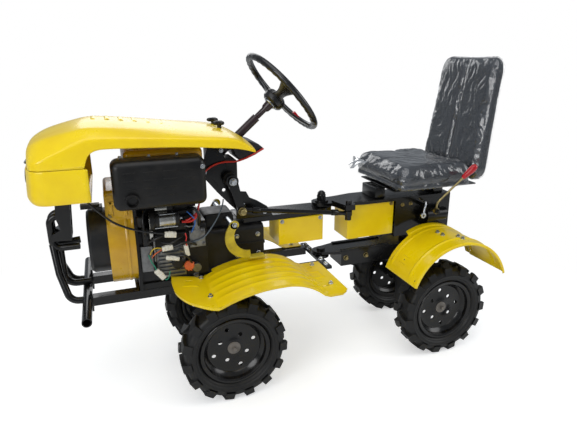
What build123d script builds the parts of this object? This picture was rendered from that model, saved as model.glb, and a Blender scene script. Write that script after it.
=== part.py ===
"""Pivot-steered mini tractor, whole machine, drawn in millimetres with +Z up and +X forward.

Every sub-part is drawn from the front axle (x = 0), the centre line (y = 0) and a base line
AXLE_Z below the axles (z = 0). finish() moves the pieces so that the middle of the box is on the
origin and the tyres stand on z = 0.
"""

import os
from math import cos, radians, sin

from build123d import *

os.makedirs("parts", exist_ok=True)

# Driving dimensions
TYRE_R = 214.0  # lug tips of a low 10 inch field tyre
TYRE_W = 112.0  # section width
LUG_H = 14.0  # lug height over the carcass
LUGS = 15  # lugs on each half of the tread
WHEELBASE = 972.0
SHIFT_X = WHEELBASE / 2 - 203.0  # front axle to the middle of the box
TRACK_HALF = 222.0  # centre line to tyre centre
PIVOT_X = -469.0  # articulation axis
SHEET = 3.0  # pressed sheet metal
GAP = 6.0  # clearance round moving pieces
FIT = 0.4  # radial clearance at pins and shafts

AXLE_Z = 228.0  # axles over the drawing's base line
REAR_X = -WHEELBASE

# Wheels
BEAD_R = 128.0
FLANGE_R = 141.0
RIM_HALF = 38.0
DISC_Y = 6.0  # disc middle, outboard of the tyre centre
HOLE_SQUARE = 60.0  # half side of the square of holes
HOLE_R = 8.3
SHAFT_R = 19.0
HUB_R = 32.0
HOUSING_R = 34.0
HOUSING_END = 130.0

# Chassis
RAIL_Y = 100.0
RAIL_W = 40.0
RAIL_TOP = 479.0
RAIL_BOTTOM = 446.0
CASE_F = REAR_X + 67.0  # faces of the rear axle case
CASE_B = REAR_X - 68.0
FRAME_REAR = REAR_X - 116.0  # rear face of the rear frame box
LUG_TOP = 476.0  # lower pivot lug of the front body
AFT_Z = RAIL_TOP + 2  # under face of the front fender's rear flat
DIP_Z = RAIL_TOP + 21  # and of its dip over the front bracket
RAIL_FRONT = 497.0
RAIL_REAR = -430.0
BEAM_TOP = 702.0
BEAM_T = 22.0
BEAM_HALF = 56.0
PIN_R = 12.0
BAR_R = 17.0  # round bar across the front
BAR_HALF = 290.0
BAR_X = RAIL_FRONT + 19.0
BAR_Z = RAIL_TOP - 9.0
TUBE_R = 13.0

# Engine
CRANK_Z = 662.0
CASE_HALF = 118.0
BELL_HALF = 92.0  # gearbox, half width
CASE_FRONT = 327.0
CASE_REAR = 62.0
FAN_R = 168.0
FAN_T = 92.0
RECOIL_R = 122.0
RECOIL_T = 70.0

# Body panels
HOOD_HALF = 225.0
SEAM_Z = 983.0
NOSE_Z = 868.0
NOSE_FRONT = 661.0  # at the nose's lower edge
SEAM_FRONT = 652.0  # at the seam
HOOD_LEAN = 0.27  # backward lean of the hood's front
NOSE_SIDE = 455.0
HINGE = (SEAM_FRONT + 3, SEAM_Z + 2)  # hood hinge axis (x, z)
KNUCKLE = 22.0  # half length of the hood's hinge knuckle

# Steering
WHEEL_C = (-289.0, 0.0, 1190.0)
COLUMN_TILT = 41.0  # column above the horizontal
RIM_DIA = 392.0
STEM_R = 10.0  # steering wheel's shaft
SLEEVE_R = 17.0
SECTOR = (-46.0, 875.0)
ARM_END = (-80.0, 753.0)
LINK_REAR = (-546.0, 110.0, 691.0)
PEDAL_BEND = (-90.0, 662.0)  # middle of the pedal arm's bend (x, z)
PEDAL_R = 90.0
PLATE_Z = BEAM_TOP + GAP  # under face of the rear body's top plate

# Seat
SEAT_HALF = 225.0
SEAT_REAR = REAR_X - 136.0
SEAT_FRONT = SEAT_REAR + 383.0
SEAT_Z = 778.0
SEAT_T = 100.0
BACK_TOP = 1332.0
BACK_LEAN = 0.145
BACK_T = 62.0  # at the foot
BACK_TAPER = 18.0  # loss of thickness and of half width up to the top

# Rear fender arch: middle (x, z) and outer radius
ARCH = (REAR_X + 24.0, 357.0)
ARCH_R = 240.0


def finish(piece: Part, label: str) -> None:
    """Moves a finished piece to the shared frame and writes it."""
    placed = piece.moved(Location((SHIFT_X, 0, TYRE_R - AXLE_Z)))
    placed.label = label
    export_step(placed, f"parts/{label}.step")


def block(
    x0: float, x1: float, y0: float, y1: float, z0: float, z1: float, mode: Mode = Mode.ADD
) -> None:
    """A box from its six faces."""
    with Locations(((x0 + x1) / 2, (y0 + y1) / 2, (z0 + z1) / 2)):
        Box(x1 - x0, y1 - y0, z1 - z0, mode=mode)


def across(x: float, z: float, y0: float, y1: float, r: float, mode: Mode = Mode.ADD) -> None:
    """A round bar along Y."""
    with BuildSketch(Plane(origin=(x, y0, z), x_dir=(1, 0, 0), z_dir=(0, 1, 0))) as end:
        Circle(r)
    extrude(end.sketch, amount=y1 - y0, mode=mode)


def along(x0: float, x1: float, y: float, z: float, r: float, mode: Mode = Mode.ADD) -> None:
    """A round bar along X."""
    with BuildSketch(Plane(origin=(x0, y, z), x_dir=(0, 1, 0), z_dir=(1, 0, 0))) as end:
        Circle(r)
    extrude(end.sketch, amount=x1 - x0, mode=mode)


def upright(x: float, y: float, z0: float, z1: float, r: float, mode: Mode = Mode.ADD) -> None:
    """A round bar along Z."""
    with BuildSketch(Plane.XY.offset(z0)) as end:
        with Locations((x, y)):
            Circle(r)
    extrude(end.sketch, amount=z1 - z0, mode=mode)


def plate_y(points: list, y0: float, y1: float, mode: Mode = Mode.ADD) -> None:
    """A plate cut to a side outline of (x, z) points, from y0 to y1."""
    with BuildSketch(Plane(origin=(0, y1, 0), x_dir=(1, 0, 0), z_dir=(0, -1, 0))) as side_view:
        Polygon(*points, align=None)
    extrude(side_view.sketch, amount=y1 - y0, mode=mode)


def plate_z(points: list, z0: float, z1: float, mode: Mode = Mode.ADD) -> None:
    """A plate cut to a plan outline of (x, y) points, from z0 to z1."""
    with BuildSketch(Plane.XY.offset(z0)) as plan:
        Polygon(*points, align=None)
    extrude(plan.sketch, amount=z1 - z0, mode=mode)


def bent_bar(points: list, r: float, bend: float) -> None:
    """A round bar bent along a run of points."""
    with BuildLine() as path:
        if len(points) > 2:
            FilletPolyline(*points, radius=bend)
        else:
            Polyline(*points)
    with BuildSketch(Plane(origin=path.line @ 0, z_dir=path.line % 0)) as end:
        Circle(r)
    sweep(end.sketch, path=path.line)


# Wheels: one tyre and one rim drawn round the Y axis with the outer side at +Y
with BuildPart() as tyre:
    carcass = TYRE_R - LUG_H
    half = TYRE_W / 2
    with BuildSketch(Plane.XY):
        Polygon(
            (BEAD_R, RIM_HALF - 1), (FLANGE_R + 1, RIM_HALF - 1), (FLANGE_R + 26, half),
            (carcass - 20, half - 1), (carcass - 5, half - 10), (carcass, 20),
            (carcass, -20), (carcass - 5, 10 - half), (carcass - 20, 1 - half),
            (FLANGE_R + 26, -half), (FLANGE_R + 1, 1 - RIM_HALF), (BEAD_R, 1 - RIM_HALF),
            align=None,
        )
    revolve(axis=Axis.Y)
    lug_foot = carcass - 26
    lugs = []
    for side in (1, -1):
        foot = [(-30, -4), (-8, -4), (20, 22), (28, half - 2), (-10, half - 2), (-13, 24)]
        foot = [(x, side * y) for x, y in foot][::side]
        with BuildPart(mode=Mode.PRIVATE) as lug:
            with BuildSketch(Plane.XY.offset(lug_foot)):
                Polygon(*foot, align=None)
            extrude(amount=(TYRE_R**2 - 26**2) ** 0.5 - lug_foot, taper=3)
        for n in range(LUGS):
            turn = 360.0 / LUGS * (n + (0.5 if side < 0 else 0))
            lugs.append(lug.part.rotate(Axis.Y, turn))
    add(lugs)


def rim_part(turn: float) -> Part:
    """A pressed rim with its disc, ring of holes and hub.

    Args:
        turn: Turn of the square of holes, in degrees.
    Returns:
        The rim round the Y axis.
    """
    with BuildPart() as rim:
        with BuildSketch(Plane.XY):
            Polygon(
                (FLANGE_R, RIM_HALF + 4), (FLANGE_R, RIM_HALF), (BEAD_R - 0.5, RIM_HALF - 1),
                (BEAD_R - 0.5, 22), (BEAD_R - 14, 14), (BEAD_R - 14, -14), (BEAD_R - 0.5, -22),
                (BEAD_R - 0.5, 1 - RIM_HALF), (FLANGE_R, -RIM_HALF), (FLANGE_R, -RIM_HALF - 4),
                (BEAD_R - 5, -RIM_HALF - 4), (BEAD_R - 5, -24), (BEAD_R - 19, -16),
                (BEAD_R - 19, DISC_Y - 3), (HUB_R, DISC_Y - 3), (HUB_R, HOUSING_END + GAP - TRACK_HALF),
                (SHAFT_R + FIT, HOUSING_END + GAP - TRACK_HALF), (SHAFT_R + FIT, DISC_Y - 3),
                (0, DISC_Y - 3), (0, DISC_Y + 3), (BEAD_R - 19, DISC_Y + 3), (BEAD_R - 19, 16),
                (BEAD_R - 5, 24), (BEAD_R - 5, RIM_HALF + 4), align=None,
            )
        revolve(axis=Axis.Y)
        face = Plane(origin=(0, DISC_Y + 3, 0), x_dir=(1, 0, 0), z_dir=(0, 1, 0))
        with BuildSketch(face):
            RegularPolygon(16, 6)
        extrude(amount=10)
        with BuildSketch(face.rotated((0, 0, turn))):
            square = [(i, j) for i in (-1, 0, 1) for j in (-1, 0, 1) if i or j]
            spots = [(i * HOLE_SQUARE, j * HOLE_SQUARE) for i, j in square]
            with Locations(*spots):
                Circle(HOLE_R)
        extrude(amount=-8, mode=Mode.SUBTRACT)
    return rim.part


for end, axle_x, turn in (("front", 0.0, 27.6), ("rear", REAR_X, 38.6)):
    for hand, side in (("left", 1), ("right", -1)):
        spot = Location((axle_x, side * TRACK_HALF, AXLE_Z))
        for stem, shape in (("tyre", tyre.part), ("rim", rim_part(turn))):
            turned = shape if side > 0 else mirror(shape, about=Plane.XZ)
            finish(turned.moved(spot), f"{stem}_{end}_{hand}")

# Front chassis: rails, cross bars, lower pivot lug and fender brackets
with BuildPart() as chassis:
    for side in (1, -1):
        y = side * RAIL_Y
        block(RAIL_REAR, RAIL_FRONT, y - RAIL_W / 2, y + RAIL_W / 2, RAIL_BOTTOM, RAIL_TOP)
        low, high = sorted((side * (RAIL_Y + 20), side * 330))
        block(80, 110, low, high, DIP_Z - 8, DIP_Z)
        low, high = sorted((side * (RAIL_Y + 19), side * (RAIL_Y + 30)))
        block(80, 110, low, high, RAIL_BOTTOM, DIP_Z)
        low, high = sorted((side * (RAIL_Y + 20), side * 340))
        block(-392, -360, low, high, AFT_Z - 10, AFT_Z)
    block(300, 340, -RAIL_Y, RAIL_Y, RAIL_BOTTOM + 4, RAIL_TOP)
    block(-260, -220, -RAIL_Y, RAIL_Y, RAIL_BOTTOM + 4, RAIL_TOP)
    block(RAIL_REAR - 28, RAIL_REAR, -150, 150, 464, LUG_TOP)
    upright(PIVOT_X, 0, 464, LUG_TOP, 38)
    upright(PIVOT_X, 0, 460, LUG_TOP + 2, PIN_R + FIT, mode=Mode.SUBTRACT)
finish(chassis.part, "chassis_rails")

# Front guard: nose post, two bent hoops, splayed legs, centre tube, end plates and the round bar
with BuildPart() as guard:
    post = [(545, 686), (622, 690), (612, 712), (578, 730), (590, 776), (582, NOSE_Z), (533, NOSE_Z)]
    plate_y(post, -45, 45)
    inner = [
        (540, 692), (616, 696), (606, 707), (571, 727), (583, 776), (576, NOSE_Z + 1), (527, NOSE_Z + 1),
    ]
    plate_y(inner, -39, 39, mode=Mode.SUBTRACT)
    for side in (1, -1):
        bent_bar(
            [
                (562, side * 24, 778), (613, side * 24, 778), (613, side * 24, 656),
                (522, side * 36, 660),
            ],
            TUBE_R, 28,
        )
        bent_bar(
            [
                (614, side * 22, 672), (602, side * 60, 566), (574, side * RAIL_Y, BAR_Z + 2),
                (BAR_X - 10, side * RAIL_Y, BAR_Z - 4),
            ],
            TUBE_R, 40,
        )
        low, high = sorted((side * (RAIL_Y - 18), side * (RAIL_Y + 18)))
        block(RAIL_FRONT + FIT, RAIL_FRONT + 7, low, high, RAIL_BOTTOM - 22, RAIL_TOP + 29)
    bent_bar([(593, 0, 658), (593, 0, BAR_Z + 28), (BAR_X - 16, 0, BAR_Z + 28)], TUBE_R, 44)
    block(584, 602, -30, 30, 648, 662)
    across(BAR_X, BAR_Z, -BAR_HALF, BAR_HALF, BAR_R)
    for y0, y1 in ((-BAR_HALF - 1, 46 - BAR_HALF), (BAR_HALF - 46, BAR_HALF + 1)):
        across(BAR_X, BAR_Z, y0, y1, BAR_R - 4, mode=Mode.SUBTRACT)
finish(guard.part, "front_guard")

# Transmission with its leg down to the front axle
with BuildPart() as gearbox:
    block(-175, CASE_REAR, -BELL_HALF, BELL_HALF, RAIL_TOP, BEAM_TOP - BEAM_T)
    fillet(gearbox.edges().filter_by(Axis.X), 18)
    block(-80, 80, -60, 60, 150, RAIL_TOP)
    across(0, AXLE_Z, -62, 62, HOUSING_R, mode=Mode.SUBTRACT)
    for z in (520, 600):
        block(-178, -60, -96, 96, z, z + 10)
finish(gearbox.part, "transmission")

for label, axle_x in (("front_axle", 0.0), ("rear_axle", REAR_X)):
    with BuildPart() as axle:
        across(axle_x, AXLE_Z, -HOUSING_END, HOUSING_END, HOUSING_R)
        for y0, y1 in ((60, 74), (-74, -60)):
            across(axle_x, AXLE_Z, y0, y1, HOUSING_R + 20)
        across(axle_x, AXLE_Z, -TRACK_HALF - 2, TRACK_HALF + 2, SHAFT_R)
    finish(axle.part, label)

# Engine: crankcase, finned cylinder and head
with BuildPart() as engine:
    block(CASE_REAR, CASE_FRONT, -CASE_HALF, CASE_HALF, RAIL_TOP + 20, 726)
    fillet(engine.edges().filter_by(Axis.X), 24)
    block(CASE_REAR, CASE_FRONT - 10, -CASE_HALF, CASE_HALF, RAIL_TOP, RAIL_TOP + 24)
    block(CASE_FRONT - 12, CASE_FRONT, -132, 132, RAIL_TOP, 800)
    block(110, 300, -84, 84, 724, 890)
    for n in range(6):
        z = 742 + 22 * n
        block(96, 314, -98, 98, z, z + 9)
    block(120, 290, -70, 70, 888, 930)
finish(engine.part, "engine_block")

with BuildPart() as fan:
    with BuildSketch(Plane(origin=(CASE_FRONT, 0, 0), x_dir=(0, 1, 0), z_dir=(1, 0, 0))):
        with Locations((0, CRANK_Z)):
            Circle(FAN_R)
        with Locations((0, (CRANK_Z + 878) / 2)):
            Rectangle(256, 878 - CRANK_Z)
    extrude(amount=FAN_T)
    fillet(fan.faces().sort_by(Axis.X)[-1].edges(), 16)
finish(fan.part, "fan_housing")

with BuildPart() as recoil:
    x0 = CASE_FRONT + FAN_T
    along(x0, x0 + RECOIL_T, 0, CRANK_Z, RECOIL_R)
    chamfer(recoil.faces().sort_by(Axis.X)[-1].edges(), 10)
    with BuildSketch(Plane(origin=(x0 + RECOIL_T, 0, CRANK_Z), x_dir=(0, 1, 0), z_dir=(1, 0, 0))):
        with PolarLocations(80, 12):
            SlotOverall(44, 10)
    extrude(amount=-6, mode=Mode.SUBTRACT)
    block(x0 + 10, x0 + 44, -24, 24, CRANK_Z + RECOIL_R - 10, CRANK_Z + RECOIL_R + 14)
    block(x0 + 20, x0 + RECOIL_T + 16, -14, 14, CRANK_Z + RECOIL_R + 6, CRANK_Z + RECOIL_R + 22)
finish(recoil.part, "recoil_starter")

with BuildPart() as muffler:
    block(88, 371, 132, 244, 833, 1000)
    fillet(muffler.edges(), 20)
    across(327, 868, 240, 262, 21)
    across(327, 868, 246, 264, 17, mode=Mode.SUBTRACT)
    block(150, 250, 98, 134, 842, 882)
finish(muffler.part, "muffler")

with BuildPart() as starter:
    along(174, 264, 152, 762, 28)
    along(264, 276, 152, 762, 36)
    block(264, 276, CASE_HALF, 150, 690, 762)
    along(168, 174, 152, 762, 14)
    along(190, 250, 152 - 22, 762 + 38, 17)
finish(starter.part, "starter_motor")

with BuildPart() as fittings:
    y = CASE_HALF
    block(74, 132, y, y + 30, 640, 706)
    upright(103, y + 15, 706, 760, 15)
    block(150, 256, y, y + 8, 524, 640)
    for n in range(7):
        block(156, 250, y + 7, y + 16, 530 + 15 * n, 536 + 15 * n)
    across(139 - 27, 556, y, y + 18, 12)
    across(139 - 27, 556, y + 16, y + 34, 17)
    block(270, 312, y, y + 18, 560, 660)
finish(fittings.part, "engine_fittings")

with BuildPart() as tank:
    block(60, 340, -190, 118, 930, 1012)
    fillet(tank.edges(), 18)
    upright(270, -60, 1010, 1030, 26)
finish(tank.part, "fuel_tank")

with BuildPart() as cleaner:
    upright(200, -170, 752, 900, 60)
    upright(200, -170, 900, 916, 48)
    block(170, 230, -118, -98, 790, 850)
finish(cleaner.part, "air_cleaner")

# Steering support, gear, column and dash
column = Vector(-cos(radians(COLUMN_TILT)), 0, sin(radians(COLUMN_TILT)))


def on_column(down: float) -> Vector:
    """A point on the column axis, measured down from the middle of the steering wheel."""
    return Vector(*WHEEL_C) - column * down


with BuildPart() as support:
    for y0 in (58, -64):
        plate_y([
            (58, 680), (66, 900), (30, 1008), (-22, 1008), (-48, 860), (-66, 836), (-112, 815),
            (-122, 793), (-205, 730), (-225, BEAM_TOP + 1), (-100, BEAM_TOP + 1), (-100, 680),
        ], y0, y0 + 6)
    block(20, 26, -58, 58, 700, 1008)
    block(-100, 58, -58, 58, 680, 686)
    across(SECTOR[0], SECTOR[1], 56, 66, 27, mode=Mode.SUBTRACT)
finish(support.part, "steering_support")

with BuildPart() as gear:
    block(-82, 20, -40, 57.6, 844, 950)
    fillet(gear.edges().filter_by(Axis.Y), 16)
    across(SECTOR[0], SECTOR[1], 56, 92, 27)
    across(SECTOR[0], SECTOR[1], 90, 130, 11)
    across(SECTOR[0], SECTOR[1], 124.5, 134, 15)
    block(-60, 0, -58, -38, 860, 920)
finish(gear.part, "steering_gear")

with BuildPart() as sleeve:
    with BuildSketch(Plane(origin=on_column(372), z_dir=column)):
        Circle(SLEEVE_R)
    extrude(amount=372 - 143)
    with BuildSketch(Plane(origin=on_column(260), z_dir=column)):
        Circle(STEM_R + FIT)
    extrude(amount=120, mode=Mode.SUBTRACT)
    add(gear.part, mode=Mode.SUBTRACT)
finish(sleeve.part, "steering_column")

with BuildPart() as dash:
    plate_y([(-184, 984), (-87, 944), (-52, 1000), (-52, 1026), (-126, 1016), (-180, 994)], -90, 90)
    with BuildSketch(Plane(origin=on_column(400), z_dir=column)):
        Circle(SLEEVE_R + FIT)
    extrude(amount=400, mode=Mode.SUBTRACT)
finish(dash.part, "dash_panel")

with BuildPart() as pedals:
    for side in (1, -1):
        y0, y1 = sorted((side * 64, side * 172))
        across(PEDAL_BEND[0] + 62, PEDAL_BEND[1] + 46, y0, y1, 10)
        y0, y1 = sorted((side * 158, side * 166))
        with BuildSketch(Plane(origin=(0, y1, 0), x_dir=(1, 0, 0), z_dir=(0, -1, 0))):
            with BuildLine():
                arcs = [CenterArc(PEDAL_BEND, r, 40, -134) for r in (PEDAL_R, PEDAL_R - 36)]
                Line(arcs[0] @ 0, arcs[1] @ 0)
                Line(arcs[0] @ 1, arcs[1] @ 1)
            make_face()
        extrude(amount=y1 - y0)
        y0, y1 = sorted((side * 140, side * 190))
        block(-172, -88, y0, y1, 573, 583)
finish(pedals.part, "pedals")

# Upper tongue from the transmission to the articulation pivot, and its folded cover
with BuildPart() as beam:
    bottom = BEAM_TOP - BEAM_T
    plate_z([(-100, 64), (-100, -64), (-440, -BEAM_HALF), (-440, BEAM_HALF)], bottom, BEAM_TOP)
    plate_z([(-430, BEAM_HALF), (-430, -BEAM_HALF), (PIVOT_X, -44), (PIVOT_X, 44)], bottom, BEAM_TOP)
    upright(PIVOT_X, 0, bottom, BEAM_TOP, 44)
    upright(PIVOT_X, 0, bottom - 1, BEAM_TOP + 1, PIN_R + FIT, mode=Mode.SUBTRACT)
finish(beam.part, "front_beam")


def folded_cover(x0: float, x1: float, z0: float, z1: float) -> Part:
    """A folded sheet cover, open below and behind.

    Args:
        x0: Rear edge.
        x1: Front edge.
        z0: Lower edge.
        z1: Top face.
    Returns:
        The folded sheet.
    """
    with BuildPart() as cover:
        block(x0, x1, -66, 66, z0, z1)
        block(x0 - 1, x1 - SHEET, -66 + SHEET, 66 - SHEET, z0 - 1, z1 - SHEET, mode=Mode.SUBTRACT)
    return cover.part


finish(folded_cover(-449, -249, 569, BEAM_TOP - BEAM_T), "front_cover")

# Nose plan: distance back from the front, distance in from the side
NOSE_PLAN = ((56, 1), (22, 29), (4, 95), (0, 165))


def nose_fill(inset: float, low: float, high: float) -> Part:
    """The filled nose, or its hollow when inset by the sheet thickness.

    Args:
        inset: Distance inside the outer faces.
        low: Lower level.
        high: Upper level.
    Returns:
        The lofted solid.
    """
    with BuildPart(mode=Mode.PRIVATE) as fill:
        for z in (low, high):
            front = NOSE_FRONT + (SEAM_FRONT - NOSE_FRONT) * (z - NOSE_Z) / (SEAM_Z - NOSE_Z) - inset
            half = [(NOSE_SIDE - inset, HOOD_HALF - inset)]
            half += [(front - back, HOOD_HALF - in_by - inset) for back, in_by in NOSE_PLAN]
            with BuildSketch(Plane.XY.offset(z)):
                Polygon(*half[::-1], *[(x, -y) for x, y in half], align=None)
        loft(ruled=True)
    return fill.part


# Nose panel, lamps and hood
with BuildPart() as nose:
    add(nose_fill(0, NOSE_Z, SEAM_Z))
    add(nose_fill(SHEET, NOSE_Z + 14, SEAM_Z + 1), mode=Mode.SUBTRACT)
    back, front = SEAM_FRONT - 20, SEAM_FRONT + 2
    block(back, front, -KNUCKLE, KNUCKLE, SEAM_Z - 10, SEAM_Z + 1, mode=Mode.SUBTRACT)
    for y0, y1 in ((KNUCKLE, 2 * KNUCKLE), (-2 * KNUCKLE, -KNUCKLE)):
        across(HINGE[0], HINGE[1], y0, y1, 6)
    across(HINGE[0], HINGE[1], -KNUCKLE, KNUCKLE, 3)
finish(nose.part, "nose_panel")

with BuildPart() as lamps:
    lean = NOSE_FRONT - SEAM_FRONT
    for y in (30, -30):
        foot = (NOSE_FRONT - lean * (938 - NOSE_Z) / (SEAM_Z - NOSE_Z) + FIT, y, 938)
        with BuildSketch(Plane(origin=foot, x_dir=(0, 1, 0), z_dir=(SEAM_Z - NOSE_Z, 0, lean))) as lens:
            Circle(27)
        extrude(lens.sketch, amount=4)
finish(lamps.part, "headlamps")

# Hood sections: station, half width, side crease, shoulder half width, shoulder, crown
HOOD_SECTIONS = (
    (-112, 222, 1008, 150, 1020, 1028),
    (-40, 224, 1052, 150, 1064, 1070),
    (428, 225, 1082, 170, 1110, 1124),
    (540, 224.5, 1046, 160, 1089, 1103),
    (596, 224, 1020, 146, 1072, 1084),
    (630, 196, 1008, 120, 1052, 1063),
    (648, 130, 1000, 96, 1036, 1046),
    (656, 62, 992, 46, 1010, 1018),
)


def hood_shape(inset: float, foot: float) -> Part:
    """The filled hood, or its hollow when inset by the sheet thickness.

    Args:
        inset: Distance inside the outer faces.
        foot: Level of the open underside.
    Returns:
        The lofted solid.
    """
    with BuildPart(mode=Mode.PRIVATE) as shape:
        for n, (x, half_w, crease, shoulder_w, shoulder, crown) in enumerate(HOOD_SECTIONS):
            x = x - 20 if inset and n == 0 else x - inset if n > 2 else x
            w = half_w - inset
            with BuildSketch(Plane(origin=(x, 0, 0), x_dir=(0, 1, 0), z_dir=(1, 0, 0))):
                Polygon(
                    (-w, foot), (-w, crease - inset), (-shoulder_w, shoulder - inset),
                    (0, crown - inset), (shoulder_w, shoulder - inset), (w, crease - inset), (w, foot),
                    align=None,
                )
        loft(ruled=True)
        front = [(SEAM_FRONT - HOOD_LEAN * (z - SEAM_Z) - inset, z) for z in (880, 1130)]
        plate_y([front[0], (760, 880), (760, 1130), front[1]], -300, 300, mode=Mode.SUBTRACT)
    return shape.part


with BuildPart() as hood:
    add(hood_shape(0, 960))
    add(hood_shape(SHEET, 900), mode=Mode.SUBTRACT)
    edge = [
        (680, SEAM_Z + GAP), (463, SEAM_Z + GAP), (460, 1000), (452, 1022), (436, 1037), (410, 1045),
        (155, 1036), (-55, 1017), (-112, 999), (-140, 990), (-140, 880), (680, 880),
    ]
    plate_y(edge, -300, 300, mode=Mode.SUBTRACT)
    block(-140, -44, -115, 115, 900, 1100, mode=Mode.SUBTRACT)
    for y0, y1 in ((KNUCKLE - 2, 2 * KNUCKLE + 4), (-2 * KNUCKLE - 4, 2 - KNUCKLE)):
        block(SEAM_FRONT - 20, SEAM_FRONT + 2, y0, y1, SEAM_Z, HINGE[1] + 12, mode=Mode.SUBTRACT)
    across(HINGE[0], HINGE[1], 2 - KNUCKLE, KNUCKLE - 2, 6)
    block(SEAM_FRONT - 5, SEAM_FRONT, 2 - KNUCKLE, KNUCKLE - 2, HINGE[1] + 2, SEAM_Z + GAP + 2)
    across(HINGE[0], HINGE[1], -KNUCKLE, KNUCKLE, 3 + FIT, mode=Mode.SUBTRACT)
finish(hood.part, "hood")

with BuildPart() as knobs:
    for y in (55, -55):
        upright(-19, y, 1068.6, 1082, 8)
        block(-42, 4, y - 9, y + 9, 1080, 1096)
    fillet(knobs.edges().filter_by(Axis.Z).group_by(Axis.X)[-1], 6)
    add(hood.part, mode=Mode.SUBTRACT)
finish(knobs.part, "hood_knobs")


def fender_strip(low: float, high: float, y0: float, y1: float) -> None:
    """A strip of the front fender's side profile.

    Args:
        low: Lower face, over the fender's under face.
        high: Upper face, over the fender's under face.
        y0: Inner edge.
        y1: Outer edge.
    """
    with BuildSketch(Plane(origin=(0, y1, 0), x_dir=(1, 0, 0), z_dir=(0, -1, 0))) as strip:
        with BuildLine():
            for dz in (low, high):
                Line((218, 522 + dz), (87, 500 + dz))
                ThreePointArc((87, 500 + dz), (-22, 537 + dz), (-150, 550 + dz))
                ThreePointArc((-150, 550 + dz), (-240, 535 + dz), (-310, AFT_Z + 10 + dz))
                Line((-310, AFT_Z + 10 + dz), (-335, AFT_Z + dz))
                Line((-335, AFT_Z + dz), (-415, AFT_Z + dz))
            Line((218, 522 + low), (218, 522 + high))
            Line((-415, AFT_Z + low), (-415, AFT_Z + high))
        make_face()
    extrude(strip.sketch, amount=y1 - y0)


# Outer edge of the front fender in plan, from its front inner corner to its rear inner corner
FENDER_EDGE = (
    (210, 124), (217, 200), (217, 262), (194, 332), (153, 376), (105, 405), (60, 410), (-390, 410),
    (-415, 390),
)

with BuildPart() as front_fender:
    fender_strip(0, SHEET, 99, 410)
    for n in range(5):
        y = 150 + 48 * n
        fender_strip(0, SHEET + 5, y, y + 12)
    plate_z([*FENDER_EDGE, (-415, 99), (50, 99), (50, 124)], 440, 600, mode=Mode.INTERSECT)
    with BuildPart(mode=Mode.PRIVATE) as lip:
        fender_strip(-9, SHEET, 130, 410)
        edge = [*[(x, max(y, 130)) for x, y in FENDER_EDGE], (-415, 130)]
        plate_z(edge, 440, 600, mode=Mode.INTERSECT)
        inner = [(-100 + 0.985 * (x + 100), 130 + 0.985 * (y - 130)) for x, y in edge]
        plate_z(inner, 440, 600, mode=Mode.SUBTRACT)
    add(lip.part)
finish(front_fender.part, "front_fender_left")
finish(mirror(front_fender.part, about=Plane.XZ), "front_fender_right")

# Rear body: top plate with the steering arm, frame box, lower tongue and pivot pins
with BuildPart() as top_plate:
    plate_z([
        (PIVOT_X, 44), (-560, 58), (-640, 76), (FRAME_REAR, 76),
        (FRAME_REAR, -76), (-640, -76), (-560, -58), (PIVOT_X, -44),
    ], PLATE_Z, PLATE_Z + 14)
    upright(PIVOT_X, 0, PLATE_Z, PLATE_Z + 14, 44)
    plate_z([(-500, 40), (-590, 50), (-568, 132), (-524, 132)], PLATE_Z, PLATE_Z + 24)
    upright(LINK_REAR[0], LINK_REAR[1], LINK_REAR[2] - 22, PLATE_Z, 10)
    upright(LINK_REAR[0], LINK_REAR[1], LINK_REAR[2] - 30, LINK_REAR[2] - 11, 14)
    upright(LINK_REAR[0], LINK_REAR[1], PLATE_Z + 24, PLATE_Z + 38, 13)
    upright(PIVOT_X, 0, PLATE_Z - 1, PLATE_Z + 15, PIN_R, mode=Mode.SUBTRACT)
finish(top_plate.part, "rear_top_plate")

with BuildPart() as upper_pin:
    upright(PIVOT_X, 0, BEAM_TOP - BEAM_T - 4, PLATE_Z + 30, PIN_R)
    upright(PIVOT_X, 0, BEAM_TOP + 0.5, PLATE_Z, 24)
    upright(PIVOT_X, 0, PLATE_Z + 14, PLATE_Z + 20, 27)
    with BuildSketch(Plane.XY.offset(PLATE_Z + 20)):
        with Locations((PIVOT_X, 0)):
            RegularPolygon(21, 6)
    extrude(amount=22)
    upright(PIVOT_X, 0, PLATE_Z + 42, PLATE_Z + 60, 17)
    chamfer(upper_pin.faces().sort_by(Axis.Z)[-1].edges(), 8)
finish(upper_pin.part, "kingpin_upper")

with BuildPart() as lower_pin:
    upright(PIVOT_X, 0, 454, 496, PIN_R)
    upright(PIVOT_X, 0, 454, 463.5, 19)
    upright(PIVOT_X, 0, 494, 504, 19)
finish(lower_pin.part, "kingpin_lower")

with BuildPart() as tongue:
    plate_z([(PIVOT_X, 38), (-545, 60), (-545, -60), (PIVOT_X, -38)], 482, 494)
    upright(PIVOT_X, 0, 482, 494, 38)
    block(CASE_F, -545, -60, 60, 425, 494)
    block(CASE_F - 1, -553, -52, 52, 424, 486, mode=Mode.SUBTRACT)
    for side in (1, -1):
        for n in range(3):
            y0, y1 = sorted((side * (41 + 7 * n), side * (45 + 7 * n)))
            block(CASE_F + 115, -548, y0, y1, 492, 500)
        for x in (-568, -668):
            y0, y1 = sorted((side * 59, side * 67))
            across(x, 462, y0, y1, 9)
    upright(PIVOT_X, 0, 480, 496, PIN_R, mode=Mode.SUBTRACT)
finish(tongue.part, "rear_tongue")

with BuildPart() as rear_case:
    block(CASE_B, CASE_F, -58, 58, 150, 540)
    fillet(rear_case.edges().filter_by(Axis.Z), 14)
    across(REAR_X, AXLE_Z, -60, 60, HOUSING_R, mode=Mode.SUBTRACT)
finish(rear_case.part, "rear_axle_case")

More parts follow.
